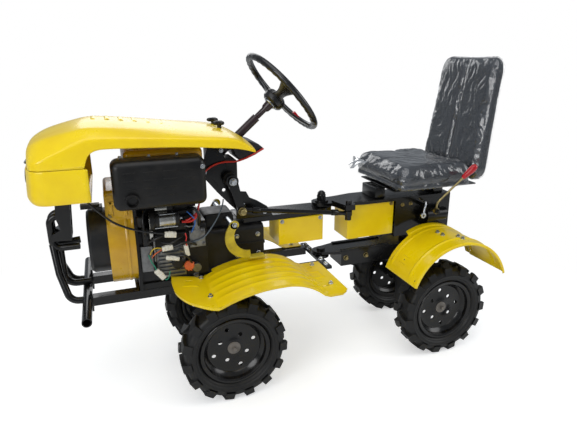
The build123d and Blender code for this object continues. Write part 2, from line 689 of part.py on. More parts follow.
with BuildPart() as frame:
    block(FRAME_REAR, REAR_X + 172, -76, 76, 540, PLATE_Z)
    block(FRAME_REAR + 6, REAR_X + 173, -70, 70, 546, PLATE_Z + 1, mode=Mode.SUBTRACT)
    for side in (1, -1):
        y0, y1 = sorted((side * 75, side * 320))
        block(REAR_X + 7, REAR_X + 42, y0, y1, 586, 593.2)
finish(frame.part, "rear_frame")

with BuildPart() as rear_fender:
    with BuildSketch(Plane(origin=(0, 378, 0), x_dir=(1, 0, 0), z_dir=(0, -1, 0))):
        with BuildLine():
            arcs = [CenterArc(ARCH, r, 18, 144) for r in (ARCH_R - SHEET, ARCH_R)]
            Line(arcs[0] @ 0, arcs[1] @ 0)
            Line(arcs[0] @ 1, arcs[1] @ 1)
        make_face()
    extrude(amount=378 - 115)
    step = [(ARCH[0] + 400 * cos(radians(a)), ARCH[1] + 400 * sin(radians(a))) for a in (0, 30, 62)]
    plate_y([ARCH, *step], 110, 148, mode=Mode.SUBTRACT)
finish(rear_fender.part, "rear_fender_left")
finish(mirror(rear_fender.part, about=Plane.XZ), "rear_fender_right")

with BuildPart() as cylinder:
    along(REAR_X - 68, REAR_X + 37, 76 + 30, 636, 30)
    along(REAR_X + 37, REAR_X + 57, 76 + 30, 636, 12)
finish(cylinder.part, "lift_cylinder")

LEVER_X = REAR_X + 57

with BuildPart() as lever:
    across(LEVER_X, 690, 76, SEAT_HALF - 5, 8)
    foot, tip = (LEVER_X, SEAT_HALF - 11), (LEVER_X - 109, SEAT_HALF + 37, 860)
    bent_bar([(*foot, 690), (*foot, 728), tip], 5, 12)
    with BuildSketch(Plane(origin=Vector(tip) + (9, -4, -11), z_dir=(-109, 48, 132))):
        Circle(14)
    extrude(amount=44)
    fillet(lever.faces().sort_by(Axis.Z)[-1].edges(), 10)
finish(lever.part, "lift_lever")

with BuildPart() as drawbar:
    block(CASE_B - 112, CASE_B, -32, 32, 300, 318)
    block(CASE_B - 18, CASE_B, -50, 50, 270, 350)
    upright(CASE_B - 84, 0, 299, 319, 11, mode=Mode.SUBTRACT)
finish(drawbar.part, "drawbar")


def back_x(z: float) -> float:
    """Front face of the seat back at a height."""
    return SEAT_REAR - 2 - BACK_LEAN * (z - 807)


with BuildPart() as seat_frame:
    block(back_x(SEAT_Z) - BACK_T - 6, SEAT_FRONT + 30, -150, 150, SEAT_Z - 6, SEAT_Z)
    for x in (SEAT_FRONT - 25, SEAT_REAR + 53):
        block(x, x + 50, -62, 62, PLATE_Z + 14, SEAT_Z - 6)
    behind = [(back_x(z) - BACK_T - t, z) for z, t in ((SEAT_Z, 0), (1000, 0), (1000, 6), (SEAT_Z, 6))]
    plate_y(behind, -90, 90)
finish(seat_frame.part, "seat_frame")

with BuildPart() as cushion:
    block(SEAT_REAR, SEAT_FRONT, -SEAT_HALF, SEAT_HALF, SEAT_Z, SEAT_Z + SEAT_T)
    fillet(cushion.edges().filter_by(Axis.Z), 55)
    fillet(cushion.faces().sort_by(Axis.Z)[-1].edges(), 40)
finish(cushion.part, "seat_cushion")

with BuildPart() as back:
    for z, thin in ((SEAT_Z + 10, 0), (BACK_TOP, BACK_TAPER)):
        deep = BACK_T - thin
        with BuildSketch(Plane.XY.offset(z)):
            with Locations((back_x(z) - deep / 2, 0)):
                Rectangle(deep, 2 * (SEAT_HALF - 6 - thin))
    loft()
    fillet(back.edges().filter_by(Axis.X), 55)
    fillet(back.faces().sort_by(Axis.X)[-1].edges(), 18)
finish(back.part, "seat_back")

# Steering wheel, drawn flat and then laid on the column
with BuildPart() as wheel:
    with BuildSketch(Plane.XZ):
        with Locations((RIM_DIA / 2 - 14, 0)):
            Circle(14)
    revolve(axis=Axis.Z)
    upright(0, 0, -62, -22, 44)
    upright(0, 0, -250, -60, STEM_R)
    for turn in (90, 210, 330):
        with BuildPart(mode=Mode.PRIVATE) as spoke:
            bent_bar([(30, 0, -42), (110, 0, -36), (184, 0, -2)], 9, 60)
        add(spoke.part.rotate(Axis.Z, turn))
finish(wheel.part.moved(Plane(origin=WHEEL_C, z_dir=column).location), "steering_wheel")

with BuildPart() as arm:
    dx, dz = ARM_END[0] - SECTOR[0], ARM_END[1] - SECTOR[1]
    long = (dx**2 + dz**2) ** 0.5
    nx, nz = -dz / long, dx / long
    web = [(SECTOR[0] + nx * 20, SECTOR[1] + nz * 20), (ARM_END[0] + nx * 13, ARM_END[1] + nz * 13),
           (ARM_END[0] - nx * 13, ARM_END[1] - nz * 13), (SECTOR[0] - nx * 20, SECTOR[1] - nz * 20)]
    plate_y(web, 112, 124)
    across(SECTOR[0], SECTOR[1], 108, 124, 24)
    across(ARM_END[0], ARM_END[1], 112, 130, 16)
    across(SECTOR[0], SECTOR[1], 100, 130, 11 + FIT, mode=Mode.SUBTRACT)
finish(arm.part, "drop_arm")

with BuildPart() as link:
    upright(LINK_REAR[0], LINK_REAR[1], LINK_REAR[2] - 10, LINK_REAR[2] + 10, 17)
    eye = (LINK_REAR[0] + 13, LINK_REAR[1], LINK_REAR[2])
    bent_bar([eye, (ARM_END[0] - 8, 100, ARM_END[1] - 1)], 9, 1)
    across(ARM_END[0], ARM_END[1], 93, 107, 15)
    low, high = LINK_REAR[2] - 12, LINK_REAR[2] + 12
    upright(LINK_REAR[0], LINK_REAR[1], low, high, 10 + FIT, mode=Mode.SUBTRACT)
finish(link.part, "drag_link")

finish(folded_cover(REAR_X + 177, -566, 554, PLATE_Z), "rear_cover")

# Leads and cables held at both ends: radius, bend, route
CABLES = {
    "lamp_lead": (4.0, 120, [(480, 150, NOSE_Z - 1), (468, 158, 846), (362, 176, 742), (226, 174, 716)]),
    "starter_lead": (3.5, 22, [
        (-180, 94.6, 988), (-92, 94.6, 941), (-20, 72, 944), (40, 84, 926), (78, 124, 890), (84, 126, 800),
        (104, 150, 762), (146, 176, 757),
    ]),
    "control_cables": (2.5, 60, [
        (-14, 92, 800), (-10, 96, 762), (74, 158, 676), (110, 150.8, 664), (178, 150.8, 650),
    ]),
}
for label, (radius, bend, route) in CABLES.items():
    with BuildPart() as cable:
        bent_bar(route, radius, bend)
    finish(cable.part, label)
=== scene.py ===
"""Dresses the pivot-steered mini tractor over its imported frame.

Lengths are millimetres in the part's own drawing frame: the front axle is x = 0, the centre line is
y = 0, and the axles are 228 above z = 0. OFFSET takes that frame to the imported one.
"""

import logging
import math
from collections.abc import Callable, Iterable, Sequence
from dataclasses import dataclass, field
from enum import Enum

import bmesh
import bpy
from mathutils import Matrix, Vector, noise


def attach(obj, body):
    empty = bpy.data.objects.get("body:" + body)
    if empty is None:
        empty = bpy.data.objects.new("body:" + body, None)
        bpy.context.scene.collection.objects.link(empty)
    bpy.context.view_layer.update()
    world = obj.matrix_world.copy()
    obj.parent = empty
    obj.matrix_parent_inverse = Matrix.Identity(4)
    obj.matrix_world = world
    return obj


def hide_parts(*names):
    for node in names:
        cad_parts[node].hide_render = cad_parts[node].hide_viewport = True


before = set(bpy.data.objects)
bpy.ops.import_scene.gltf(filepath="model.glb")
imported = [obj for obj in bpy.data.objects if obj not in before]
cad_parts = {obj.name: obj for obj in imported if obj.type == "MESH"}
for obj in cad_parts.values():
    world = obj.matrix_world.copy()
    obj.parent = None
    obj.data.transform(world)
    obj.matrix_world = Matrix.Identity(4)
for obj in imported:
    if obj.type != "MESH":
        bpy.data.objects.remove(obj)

LOG = logging.getLogger("mini_tractor")
OFFSET = Vector((283.0, 0.0, -14.0))
AXLE_Z = 228.0
Point = Sequence[float]


class Body(Enum):
    """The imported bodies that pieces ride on."""

    FRONT = "front"
    REAR = "rear"
    HOOD = "hood"
    STEERING = "steering_wheel"
    ARM = "drop_arm"
    LINK = "drag_link"
    WHEEL_FL = "wheel_front_left"
    WHEEL_FR = "wheel_front_right"
    WHEEL_RL = "wheel_rear_left"
    WHEEL_RR = "wheel_rear_right"


class Slot(Enum):
    """The record's material slots."""

    YELLOW = "yellow_paint"
    BLACK = "black_paint"
    ALLOY = "cast_alloy"
    STEEL = "bare_steel"
    PLASTIC = "black_plastic"
    SEAT = "seat_cover"
    LENS = "lamp_lens"
    TYRE = "tyre"
    RED = "red_cable"
    RIM = "rim_paint"


def linear(code: str) -> tuple[float, float, float, float]:
    """Turns an sRGB hex colour to linear light.

    Args:
        code: Six hex digits.
    Returns:
        Red, green, blue and alpha.
    """
    parts = [int(code[n:n + 2], 16) / 255 for n in (0, 2, 4)]
    return (*[c / 12.92 if c <= 0.04045 else ((c + 0.055) / 1.055) ** 2.4 for c in parts], 1.0)


def add(tree: bpy.types.NodeTree, kind: str, inputs: dict | None = None, **settings: object) -> bpy.types.Node:
    """Adds a node with its settings, its constants and its links.

    Args:
        tree: The node tree.
        kind: The node's type name, without its ShaderNode prefix.
        inputs: A constant or an output socket for each named or numbered input.
        settings: Properties of the node.
    Returns:
        The new node.
    """
    new = tree.nodes.new("ShaderNode" + kind)
    for key, value in settings.items():
        setattr(new, key, value)
    for key, value in (inputs or {}).items():
        if isinstance(value, bpy.types.NodeSocket):
            tree.links.new(value, new.inputs[key])
        else:
            new.inputs[key].default_value = value
    return new


@dataclass(frozen=True)
class Finish:
    """A rigid surface: two tones in patches, a fine grain, dust on what faces up and worn edges."""

    name: str
    slot: Slot
    colour: str
    shade: str
    rough: float
    swing: float = 0.05  # roughness variation either way
    metallic: float = 0.0
    ior: float = 1.5
    coat: float = 0.0
    patch_mm: float = 140.0
    grain_mm: float = 3.0
    grain_um: float = 20.0  # height of the grain
    dust: str = "8d8170"
    dusty: float = 0.0
    edge_mm: float = 0.0  # rounding of drawn edges
    wear: str = ""

    def material(self) -> bpy.types.Material:
        """Returns this finish's material, made on first use."""
        found = bpy.data.materials.get(self.name)
        if found:
            return found
        made = bpy.data.materials.new(self.name)
        made.use_nodes = True
        tree = made.node_tree
        shader = tree.nodes["Principled BSDF"]
        shader.inputs["Metallic"].default_value = self.metallic
        if not self.metallic:
            shader.inputs["IOR"].default_value = self.ior
        shader.inputs["Coat Weight"].default_value = self.coat
        shader.inputs["Coat Roughness"].default_value = 0.06
        self.paint(tree, shader)
        return made

    def paint(self, tree: bpy.types.NodeTree, shader: bpy.types.Node) -> None:
        """Links the patches, grain, dust and wear to the shader.

        Args:
            tree: The material's tree.
            shader: Its principled shader.
        """
        place = add(tree, "TexCoord").outputs
        patch = add(tree, "TexNoise", {
            "Vector": place["Object"], "Scale": 1000 / self.patch_mm, "Detail": 5.0, "Roughness": 0.62,
        }).outputs[0]
        spread = add(tree, "MapRange", {0: patch, 1: 0.36, 2: 0.66}).outputs[0]
        tone = add(tree, "Mix", {0: spread, 6: linear(self.colour), 7: linear(self.shade)}, data_type="RGBA").outputs[2]
        rough = add(tree, "MapRange", {0: patch, 1: 0.3, 2: 0.7, 3: self.rough - self.swing, 4: self.rough + self.swing}).outputs[0]
        if self.dusty:
            up = add(tree, "SeparateXYZ", {0: place["Normal"]}).outputs[2]
            facing = add(tree, "MapRange", {0: up, 1: -0.2, 2: 0.95, 3: 0.25, 4: 1.0}).outputs[0]
            cloud = add(tree, "TexNoise", {"Vector": place["Object"], "Scale": 1000 / 60, "Detail": 7.0, "Roughness": 0.7}).outputs[0]
            lies = add(tree, "MapRange", {0: cloud, 1: 0.42, 2: 0.72, 4: self.dusty}).outputs[0]
            veil = add(tree, "Math", {0: facing, 1: lies}, operation="MULTIPLY").outputs[0]
            tone = add(tree, "Mix", {0: veil, 6: tone, 7: linear(self.dust)}, data_type="RGBA").outputs[2]
            rough = add(tree, "Math", {0: veil, 1: 0.5, 2: rough}, operation="MULTIPLY_ADD", use_clamp=True).outputs[0]
        base = {}
        if self.edge_mm:
            soft = add(tree, "Bevel", {"Radius": self.edge_mm / 1000}, samples=4).outputs[0]
            base["Normal"] = soft
            if self.wear:
                flat = add(tree, "NewGeometry").outputs["Normal"]
                bend = add(tree, "VectorMath", {0: soft, 1: flat}, operation="DOT_PRODUCT").outputs["Value"]
                rubbed = add(tree, "MapRange", {0: bend, 1: 0.985, 2: 0.9, 3: 0.0, 4: 1.0}).outputs[0]
                chips = add(tree, "TexNoise", {"Vector": place["Object"], "Scale": 1000 / 14, "Detail": 4.0}).outputs[0]
                broken = add(tree, "MapRange", {0: chips, 1: 0.5, 2: 0.68, 4: 0.7}).outputs[0]
                mask = add(tree, "Math", {0: rubbed, 1: broken}, operation="MULTIPLY").outputs[0]
                tone = add(tree, "Mix", {0: mask, 6: tone, 7: linear(self.wear)}, data_type="RGBA").outputs[2]
        grain = add(tree, "TexNoise", {"Vector": place["Object"], "Scale": 1000 / self.grain_mm, "Detail": 3.0}).outputs[0]
        bump = add(tree, "Bump", {"Strength": 1.0, "Distance": self.grain_um / 1e6, "Height": grain, **base}).outputs[0]
        tree.links.new(tone, shader.inputs["Base Color"])
        tree.links.new(rough, shader.inputs["Roughness"])
        tree.links.new(bump, shader.inputs["Normal"])


@dataclass(frozen=True)
class Leathercloth(Finish):
    """Embossed PVC leathercloth: hide-like pebbles 1.6 mm wide, drawn at 3 mm to show, and a soft sheen."""

    def paint(self, tree: bpy.types.NodeTree, shader: bpy.types.Node) -> None:
        """Adds the pebbled emboss to the two tones.

        Args:
            tree: The material's tree.
            shader: Its principled shader.
        """
        place = add(tree, "TexCoord").outputs["Object"]
        patch = add(tree, "TexNoise", {"Vector": place, "Scale": 1000 / self.patch_mm, "Detail": 4.0}).outputs[0]
        tone = add(tree, "Mix", {0: patch, 6: linear(self.colour), 7: linear(self.shade)}, data_type="RGBA").outputs[2]
        cell = add(tree, "TexVoronoi", {"Vector": place, "Scale": 1000 / self.grain_mm}, feature="DISTANCE_TO_EDGE").outputs[0]
        valley = add(tree, "MapRange", {0: cell, 1: 0.0, 2: 0.25}).outputs[0]
        rough = add(tree, "MapRange", {0: valley, 3: self.rough + 0.12, 4: self.rough}).outputs[0]
        bump = add(tree, "Bump", {"Distance": self.grain_um / 1e6, "Height": valley}).outputs[0]
        shader.inputs["Sheen Weight"].default_value = 0.15
        for socket, name in ((tone, "Base Color"), (rough, "Roughness"), (bump, "Normal")):
            tree.links.new(socket, shader.inputs[name])


@dataclass(frozen=True)
class ClearFilm(Finish):
    """Blown polyethylene film: see-through, with white streaks where it is drawn into creases, partly the folded film's
    own whitening and partly painted highlight.
    """

    haze: float = 0.035
    # whiteness at the crease ridges: partly real whitening, partly painted highlight
    crease_white_and_highlight: float = 0.6

    def paint(self, tree: bpy.types.NodeTree, shader: bpy.types.Node) -> None:
        """Makes the film clear between its white creases, whose white is partly the film's own and partly painted
        highlight.

        Args:
            tree: The material's tree.
            shader: Its principled shader.
        """
        place = add(tree, "TexCoord").outputs["Object"]
        warp = add(tree, "TexNoise", {"Vector": place, "Scale": 1000 / 90, "Detail": 2.0}).outputs["Color"]
        drawn = add(tree, "Mix", {0: 0.16, 4: place, 5: warp}, data_type="VECTOR").outputs[1]
        crease = add(tree, "TexNoise", {
            "Vector": drawn, "Scale": 1000 / self.patch_mm, "Detail": 6.0, "Roughness": 0.6,
        }, noise_type="RIDGED_MULTIFRACTAL").outputs[0]
        # White along the crease ridges: partly the folded film's own whitening, partly painted highlight
        milky_and_highlight = add(tree, "MapRange", {0: crease, 1: 0.75, 2: 1.5, 3: self.haze, 4: self.crease_white_and_highlight}).outputs[0]
        bump = add(tree, "Bump", {"Distance": self.grain_um / 1e6, "Height": crease}).outputs[0]
        shader.inputs["Base Color"].default_value = linear(self.colour)
        shader.inputs["Roughness"].default_value = 0.35
        tree.links.new(bump, shader.inputs["Normal"])
        clear = add(tree, "BsdfTransparent").outputs[0]
        gloss = add(tree, "BsdfGlossy", {"Roughness": self.rough, "Normal": bump}).outputs[0]
        glance = add(tree, "Fresnel", {"IOR": self.ior, "Normal": bump}).outputs[0]
        shine = add(tree, "Math", {0: glance, 1: 1.5, 2: 0.02}, operation="MULTIPLY_ADD", use_clamp=True).outputs[0]
        thin = add(tree, "MixShader", {0: shine, 1: clear, 2: gloss}).outputs[0]
        skin = add(tree, "MixShader", {0: milky_and_highlight, 1: thin, 2: shader.outputs[0]}).outputs[0]
        tree.links.new(skin, tree.nodes["Material Output"].inputs["Surface"])


# Stoved enamel on pressed steel: a wet-looking yellow with a faint orange peel
YELLOW_ENAMEL = Finish("stoved_yellow_enamel", Slot.YELLOW, "f6d600", "edc900", 0.3, coat=0.15, grain_mm=5, grain_um=9,
                       dusty=0.02, edge_mm=1.2)
# The same enamel on the cowling, its darker yellow painted shade where it is kept from the light, with dust on what
# faces up
SHADED_COWL_ENAMEL = Finish("yellow_enamel_painted_shade", Slot.YELLOW, "cfa30a", "b88a0c", 0.28, coat=0.3, grain_mm=5, grain_um=9,
                     dusty=0.12, edge_mm=1.2)
# Sprayed black enamel on welded steel: satin gloss that shows soft daylight along the edges
BLACK_ENAMEL = Finish("sprayed_black_enamel", Slot.BLACK, "040405", "070708", 0.24, swing=0.08, ior=1.42, coat=0.06, grain_mm=4,
                      grain_um=14, dusty=0.03, edge_mm=1.5, wear="3a3b3d")
# Gloss black enamel on the spun rims, filmed with road dust
RIM_ENAMEL = Finish("gloss_black_rim_enamel", Slot.RIM, "050506", "09090a", 0.22, ior=1.42, coat=0.1, grain_um=10, dusty=0.06,
                    edge_mm=1.5)
# Die-cast aluminium as it left the mould: grey, grainy and half matt
CAST_ALUMINIUM = Finish("die_cast_aluminium", Slot.ALLOY, "8d8e8e", "6d6e6f", 0.42, swing=0.1, metallic=1.0, patch_mm=40,
                        grain_mm=1.6, grain_um=60, dusty=0.25, dust="4d473e", edge_mm=1.2)
# Black stove paint on the engine's castings, dull and oily
STOVE_PAINT = Finish("engine_stove_paint", Slot.BLACK, "0a0a0b", "131314", 0.46, swing=0.12, ior=1.4, patch_mm=60, grain_mm=1.8,
                     grain_um=50, dusty=0.08, edge_mm=1.5, wear="55554f")
# Heat-proof silicone paint on pressed steel: a dry, even black
HEAT_PAINT = Finish("heat_proof_black_paint", Slot.BLACK, "050506", "0a0a0b", 0.36, swing=0.08, ior=1.4, patch_mm=90, grain_mm=2,
                    grain_um=25, dusty=0.06, edge_mm=1.0)
# Zinc-plated steel: bright, a little blue, soft-edged reflections
ZINC_PLATE = Finish("zinc_plated_steel", Slot.STEEL, "c9ccd0", "aeb1b3", 0.26, metallic=1.0, patch_mm=20, grain_mm=1,
                    grain_um=10)
# Yellow-passivated zinc on nuts: brass-like with a dull bloom
YELLOW_ZINC = Finish("yellow_passivated_zinc", Slot.STEEL, "a89868", "857955", 0.34, metallic=1.0, patch_mm=16, grain_um=10)
# Drawn steel shell of the electric starter, clear lacquered
DRAWN_STEEL = Finish("lacquered_drawn_steel", Slot.STEEL, "b9b7b0", "9b9891", 0.24, metallic=1.0, patch_mm=50, grain_mm=1,
                     grain_um=8, edge_mm=1.0)
# Moulded ABS: dark, with a spark-eroded grain that softens every highlight
BLACK_ABS = Finish("moulded_black_abs", Slot.PLASTIC, "08080a", "0f0f11", 0.4, ior=1.45, grain_mm=1.4, grain_um=30,
                   dusty=0.06, edge_mm=1.5)
# Moulded tyre rubber: brown-black, dull, dusty in its hollows
TYRE_RUBBER = Finish("moulded_tyre_rubber", Slot.TYRE, "0a0a0b", "121212", 0.5, ior=1.45, patch_mm=50, grain_mm=2,
                     grain_um=60, dusty=0.07, dust="6d655a", edge_mm=2.0)
# PVC leathercloth, slate blue-grey
SLATE_VINYL = Leathercloth("slate_leathercloth", Slot.SEAT, "27303d", "1c2430", 0.42, patch_mm=90, grain_mm=3, grain_um=250)
# Polyethylene bag film pulled over the new seat, its creases white partly as painted highlight
BAG_FILM = ClearFilm("clear_bag_film", Slot.SEAT, "e8edf2", "ffffff", 0.16, ior=1.51, patch_mm=70, grain_um=900)
# Gloss moulded knob plastic
RED_KNOB = Finish("gloss_red_knob_plastic", Slot.RED, "c0101c", "a50d18", 0.22, ior=1.5, coat=0.2, grain_um=6)
# Extruded PVC insulation
RED_PVC = Finish("extruded_red_pvc", Slot.RED, "c4251c", "a81d18", 0.34, grain_um=8)
BLACK_PVC = Finish("extruded_black_pvc", Slot.PLASTIC, "0d0d0e", "151516", 0.38, grain_um=10)
BLUE_PVC = Finish("extruded_blue_pvc", Slot.PLASTIC, "1d5fae", "184f93", 0.36, grain_um=8)
GREEN_PVC = Finish("extruded_green_pvc", Slot.PLASTIC, "1f8a6a", "197258", 0.36, grain_um=8)
YELLOW_PVC = Finish("extruded_yellow_pvc", Slot.YELLOW, "d8b92a", "bd9f20", 0.36, grain_um=8)
GREY_PVC = Finish("extruded_grey_pvc", Slot.PLASTIC, "5c6770", "4a545c", 0.36, grain_um=8)
# Moulded natural nylon: milky white with a faint cream tint
NATURAL_NYLON = Finish("moulded_natural_nylon", Slot.PLASTIC, "dfdbcd", "cdc8b8", 0.36, ior=1.53, patch_mm=12, grain_um=15,
                       dusty=0.1)
# Moulded polyethylene oil cap, sun-bleached orange
ORANGE_CAP = Finish("moulded_orange_polyethylene", Slot.RED, "d2602c", "b95327", 0.42, patch_mm=14, grain_um=30, dusty=0.2)
# Hot-rolled steel under dried dust: warm grey and quite dull
DUSTY_STEEL = Finish("dusty_hot_rolled_steel", Slot.STEEL, "77716a", "5e5a55", 0.55, metallic=0.0, patch_mm=30, grain_mm=2,
                     grain_um=40, dusty=0.4, dust="8b7f6f")
# Moulded PVC skin on the steering wheel: black with a low polish
WHEEL_PVC = Finish("moulded_wheel_pvc", Slot.PLASTIC, "0b0b0d", "121214", 0.3, ior=1.53, coat=0.1, grain_mm=1.5, grain_um=15)
# Red-oxide primer under a thin black coat: a maroon that is almost black
OXIDE_PRIMER = Finish("red_oxide_over_black", Slot.BLACK, "2a1217", "1a0d10", 0.32, coat=0.1, patch_mm=80, edge_mm=1.5)
# Thin yellow enamel on the treadles, darkened to an olive as painted shade, and rubbed dull by boots
TREADLE_ENAMEL = Finish("rubbed_yellow_enamel_painted_shade", Slot.YELLOW, "c9b426", "a99423", 0.34, coat=0.1, patch_mm=40, dusty=0.2,
                        edge_mm=1.2, wear="77736a")
# Pressed glass lens over a bright reflector
LAMP_GLASS = Finish("pressed_lamp_glass", Slot.LENS, "e4e8ea", "cfd5d8", 0.08, coat=1.0, grain_mm=6, grain_um=200)

NODE_FINISH: dict[Finish, tuple[str, ...]] = {
    YELLOW_ENAMEL: ("nose_panel", "hood", "front_fender_left", "front_fender_right", "rear_fender_left",
                    "rear_fender_right", "front_cover", "rear_cover"),
    # the cowl, pedals and tank take the yellow darkened with painted shade
    SHADED_COWL_ENAMEL: ("fan_housing", "pedals", "fuel_tank"),
    BLACK_ENAMEL: ("chassis_rails", "front_guard", "steering_support", "front_beam", "rear_top_plate", "rear_tongue",
                   "rear_frame", "drop_arm", "drag_link", "seat_frame", "lift_cylinder",
                   "drawbar", "kingpin_upper", "kingpin_lower"),
    OXIDE_PRIMER: ("steering_column",),
    STOVE_PAINT: ("transmission", "front_axle", "rear_axle", "rear_axle_case", "steering_gear", "engine_block"),
    CAST_ALUMINIUM: ("engine_fittings",),
    HEAT_PAINT: ("muffler",),
    DRAWN_STEEL: ("starter_motor",),
    BLACK_ABS: ("recoil_starter", "air_cleaner", "dash_panel", "hood_knobs", "steering_wheel"),
    RIM_ENAMEL: ("rim_front_left", "rim_front_right", "rim_rear_left", "rim_rear_right"),
    TYRE_RUBBER: ("tyre_front_left", "tyre_front_right", "tyre_rear_left", "tyre_rear_right"),
    SLATE_VINYL: ("seat_cushion", "seat_back"),
    LAMP_GLASS: ("headlamps",),
    ZINC_PLATE: ("lift_lever",),
    RED_PVC: ("starter_lead",),
    BLACK_PVC: ("lamp_lead", "control_cables"),
}


def ease(a: float, b: float, x: float) -> float:
    """Returns a smooth step from 0 at a to 1 at b."""
    t = min(1.0, max(0.0, (x - a) / (b - a)))
    return t * t * (3 - 2 * t)


def along_table(table: Sequence[Point], x: float) -> list[float]:
    """Reads a table of rows by its first column, with a smooth curve through the rows.

    Args:
        table: Rows in rising order of their first column.
        x: Where to read.
    Returns:
        The other columns at x.
    """
    xs = [row[0] for row in table]
    x = min(max(x, xs[0]), xs[-1])
    n = min(max(sum(1 for v in xs if v <= x) - 1, 0), len(xs) - 2)
    h = xs[n + 1] - xs[n]
    t = (x - xs[n]) / h
    out = []
    for c in range(1, len(table[0])):
        steps = [(table[k + 1][c] - table[k][c]) / (xs[k + 1] - xs[k]) for k in range(len(xs) - 1)]
        ends = []
        for k in (n, n + 1):
            if k == 0 or k == len(xs) - 1:
                ends.append(steps[min(k, len(steps) - 1)])
            elif steps[k - 1] * steps[k] <= 0:
                ends.append(0.0)
            else:
                ends.append(2 * steps[k - 1] * steps[k] / (steps[k - 1] + steps[k]))
        a, b = table[n][c], table[n + 1][c]
        out.append(
            (1 + 2 * t) * (1 - t) ** 2 * a + t * (1 - t) ** 2 * h * ends[0]
            + t * t * (3 - 2 * t) * b + t * t * (t - 1) * h * ends[1]
        )
    return out


class Shape:
    """A mesh under construction, in millimetres of the drawing frame."""

    def __init__(self) -> None:
        """Starts an empty mesh."""
        self.bm = bmesh.new()

    def grid(self, spot: Callable[[float, float], Point], nu: int, nv: int, around: bool = False) -> list[list]:
        """Adds a surface of nu by nv quads.

        Args:
            spot: Gives the point at (u, v), each from 0 to 1.
            nu: Quads along u.
            nv: Quads along v.
            around: Joins the last row of v to the first.
        Returns:
            The vertices, one list for each u.
        """
        last = nv if around else nv + 1
        rows = [[self.bm.verts.new(spot(i / nu, j / nv)) for j in range(last)] for i in range(nu + 1)]
        for i in range(nu):
            for j in range(nv):
                k = (j + 1) % last
                self.bm.faces.new((rows[i][j], rows[i + 1][j], rows[i + 1][k], rows[i][k]))
        return rows

    def lathe(self, profile: Sequence[Point], origin: Point, axis: Point, sides: int = 32, turn: float = 0.0) -> None:
        """Adds a turned form, closed where the profile meets its axis.

        Args:
            profile: (radius, height) points along the axis.
            origin: Foot of the axis.
            axis: Direction of the axis.
            sides: Facets round the axis.
            turn: Turn of the first facet, in degrees.
        """
        facing = Vector(axis).to_track_quat("Z", "Y").to_matrix()
        rings = []
        for r, h in profile:
            count = 1 if r < 1e-6 else sides
            ring = []
            for n in range(count):
                a = math.radians(turn) + 2 * math.pi * n / count
                ring.append(self.bm.verts.new(Vector(origin) + facing @ Vector((r * math.cos(a), r * math.sin(a), h))))
            rings.append(ring)
        for low, high in zip(rings, rings[1:]):
            for n in range(sides):
                m = (n + 1) % sides
                loop = [low[n % len(low)], low[m % len(low)], high[m % len(high)], high[n % len(high)]]
                loop = [v for k, v in enumerate(loop) if v not in loop[:k]]
                if len(loop) > 2:
                    self.bm.faces.new(loop)

    def tube(self, path: Sequence[Point], radius: float, sides: int = 12) -> None:
        """Adds a round bar with closed ends along a path.

        Args:
            path: Points of the middle line.
            radius: The bar's radius.
            sides: Facets round the bar.
        """
        points = [Vector(p) for p in path]
        rings = []
        side = None
        for n, p in enumerate(points):
            ahead = (points[min(n + 1, len(points) - 1)] - points[max(n - 1, 0)]).normalized()
            if side is None:
                side = ahead.orthogonal().normalized()
            side = (side - ahead * side.dot(ahead)).normalized()
            other = ahead.cross(side)
            rings.append([
                self.bm.verts.new(p + radius * (math.cos(a) * side + math.sin(a) * other))
                for a in (2 * math.pi * k / sides for k in range(sides))
            ])
        for low, high in zip(rings, rings[1:]):
            for k in range(sides):
                m = (k + 1) % sides
                self.bm.faces.new((low[k], low[m], high[m], high[k]))
        self.bm.faces.new(rings[0][::-1])
        self.bm.faces.new(rings[-1])

    def slab(self, corner: Point, size: Point, bevel: float = 1.0, steps: int = 2, turn: Matrix | None = None) -> None:
        """Adds a box with rounded edges.

        Args:
            corner: Its middle.
            size: Its three lengths.
            bevel: Rounding of its edges.
            steps: Facets of the rounding.
            turn: Turn about its middle.
        """
        made = bmesh.ops.create_cube(self.bm, size=1.0)["verts"]
        edges = {e for v in made for e in v.link_edges}
        bmesh.ops.scale(self.bm, vec=Vector(size), verts=made)
        done = bmesh.ops.bevel(self.bm, geom=list(edges), offset=bevel, segments=steps, affect="EDGES", profile=0.5)
        moved = {v for f in done["faces"] for v in f.verts}
        for v in moved:
            v.co = (turn @ v.co if turn else v.co) + Vector(corner)

    def prism(self, outline: Sequence[Point], start: Point, end: Point, bevel: float = 0.0, steps: int = 3) -> None:
        """Adds a solid between two copies of a flat outline.

        Args:
            outline: Corner points.
            start: Offset of the first copy.
            end: Offset of the second copy.
            bevel: Rounding of the edges round both copies.
            steps: Facets of the rounding.
        """
        low = [self.bm.verts.new(Vector(p) + Vector(start)) for p in outline]
        high = [self.bm.verts.new(Vector(p) + Vector(end)) for p in outline]
        caps = [self.bm.faces.new(low[::-1]), self.bm.faces.new(high)]
        count = len(outline)
        for k in range(count):
            m = (k + 1) % count
            self.bm.faces.new((low[k], low[m], high[m], high[k]))
        if bevel:
            rims = list({e for cap in caps for e in cap.edges})
            bmesh.ops.bevel(self.bm, geom=rims, offset=bevel, segments=steps, affect="EDGES", profile=0.5)

    def bolt(self, head: Point, axis: Point, across: float = 13.0, washer: float = 11.0) -> None:
        """Adds a hexagon bolt head with its washer.

        Args:
            head: Middle of the washer's seat.
            axis: The way the head faces.
            across: Width over the flats.
            washer: The washer's radius.
        """
        r = across / math.sqrt(3)
        self.lathe([(0, 0), (washer, 0), (washer, 1.4), (washer - 0.6, 2), (0, 2)], head, axis, 20)
        high = 0.62 * across
        foot = Vector(head) + Vector(axis).normalized() * 2
        self.lathe([(0, 0), (r, 0), (r, high - 1.6), (r * 0.86, high), (r * 0.6, high), (r * 0.55, high - 0.6), (0, high - 0.6)],
                   foot, axis, 6, 15)

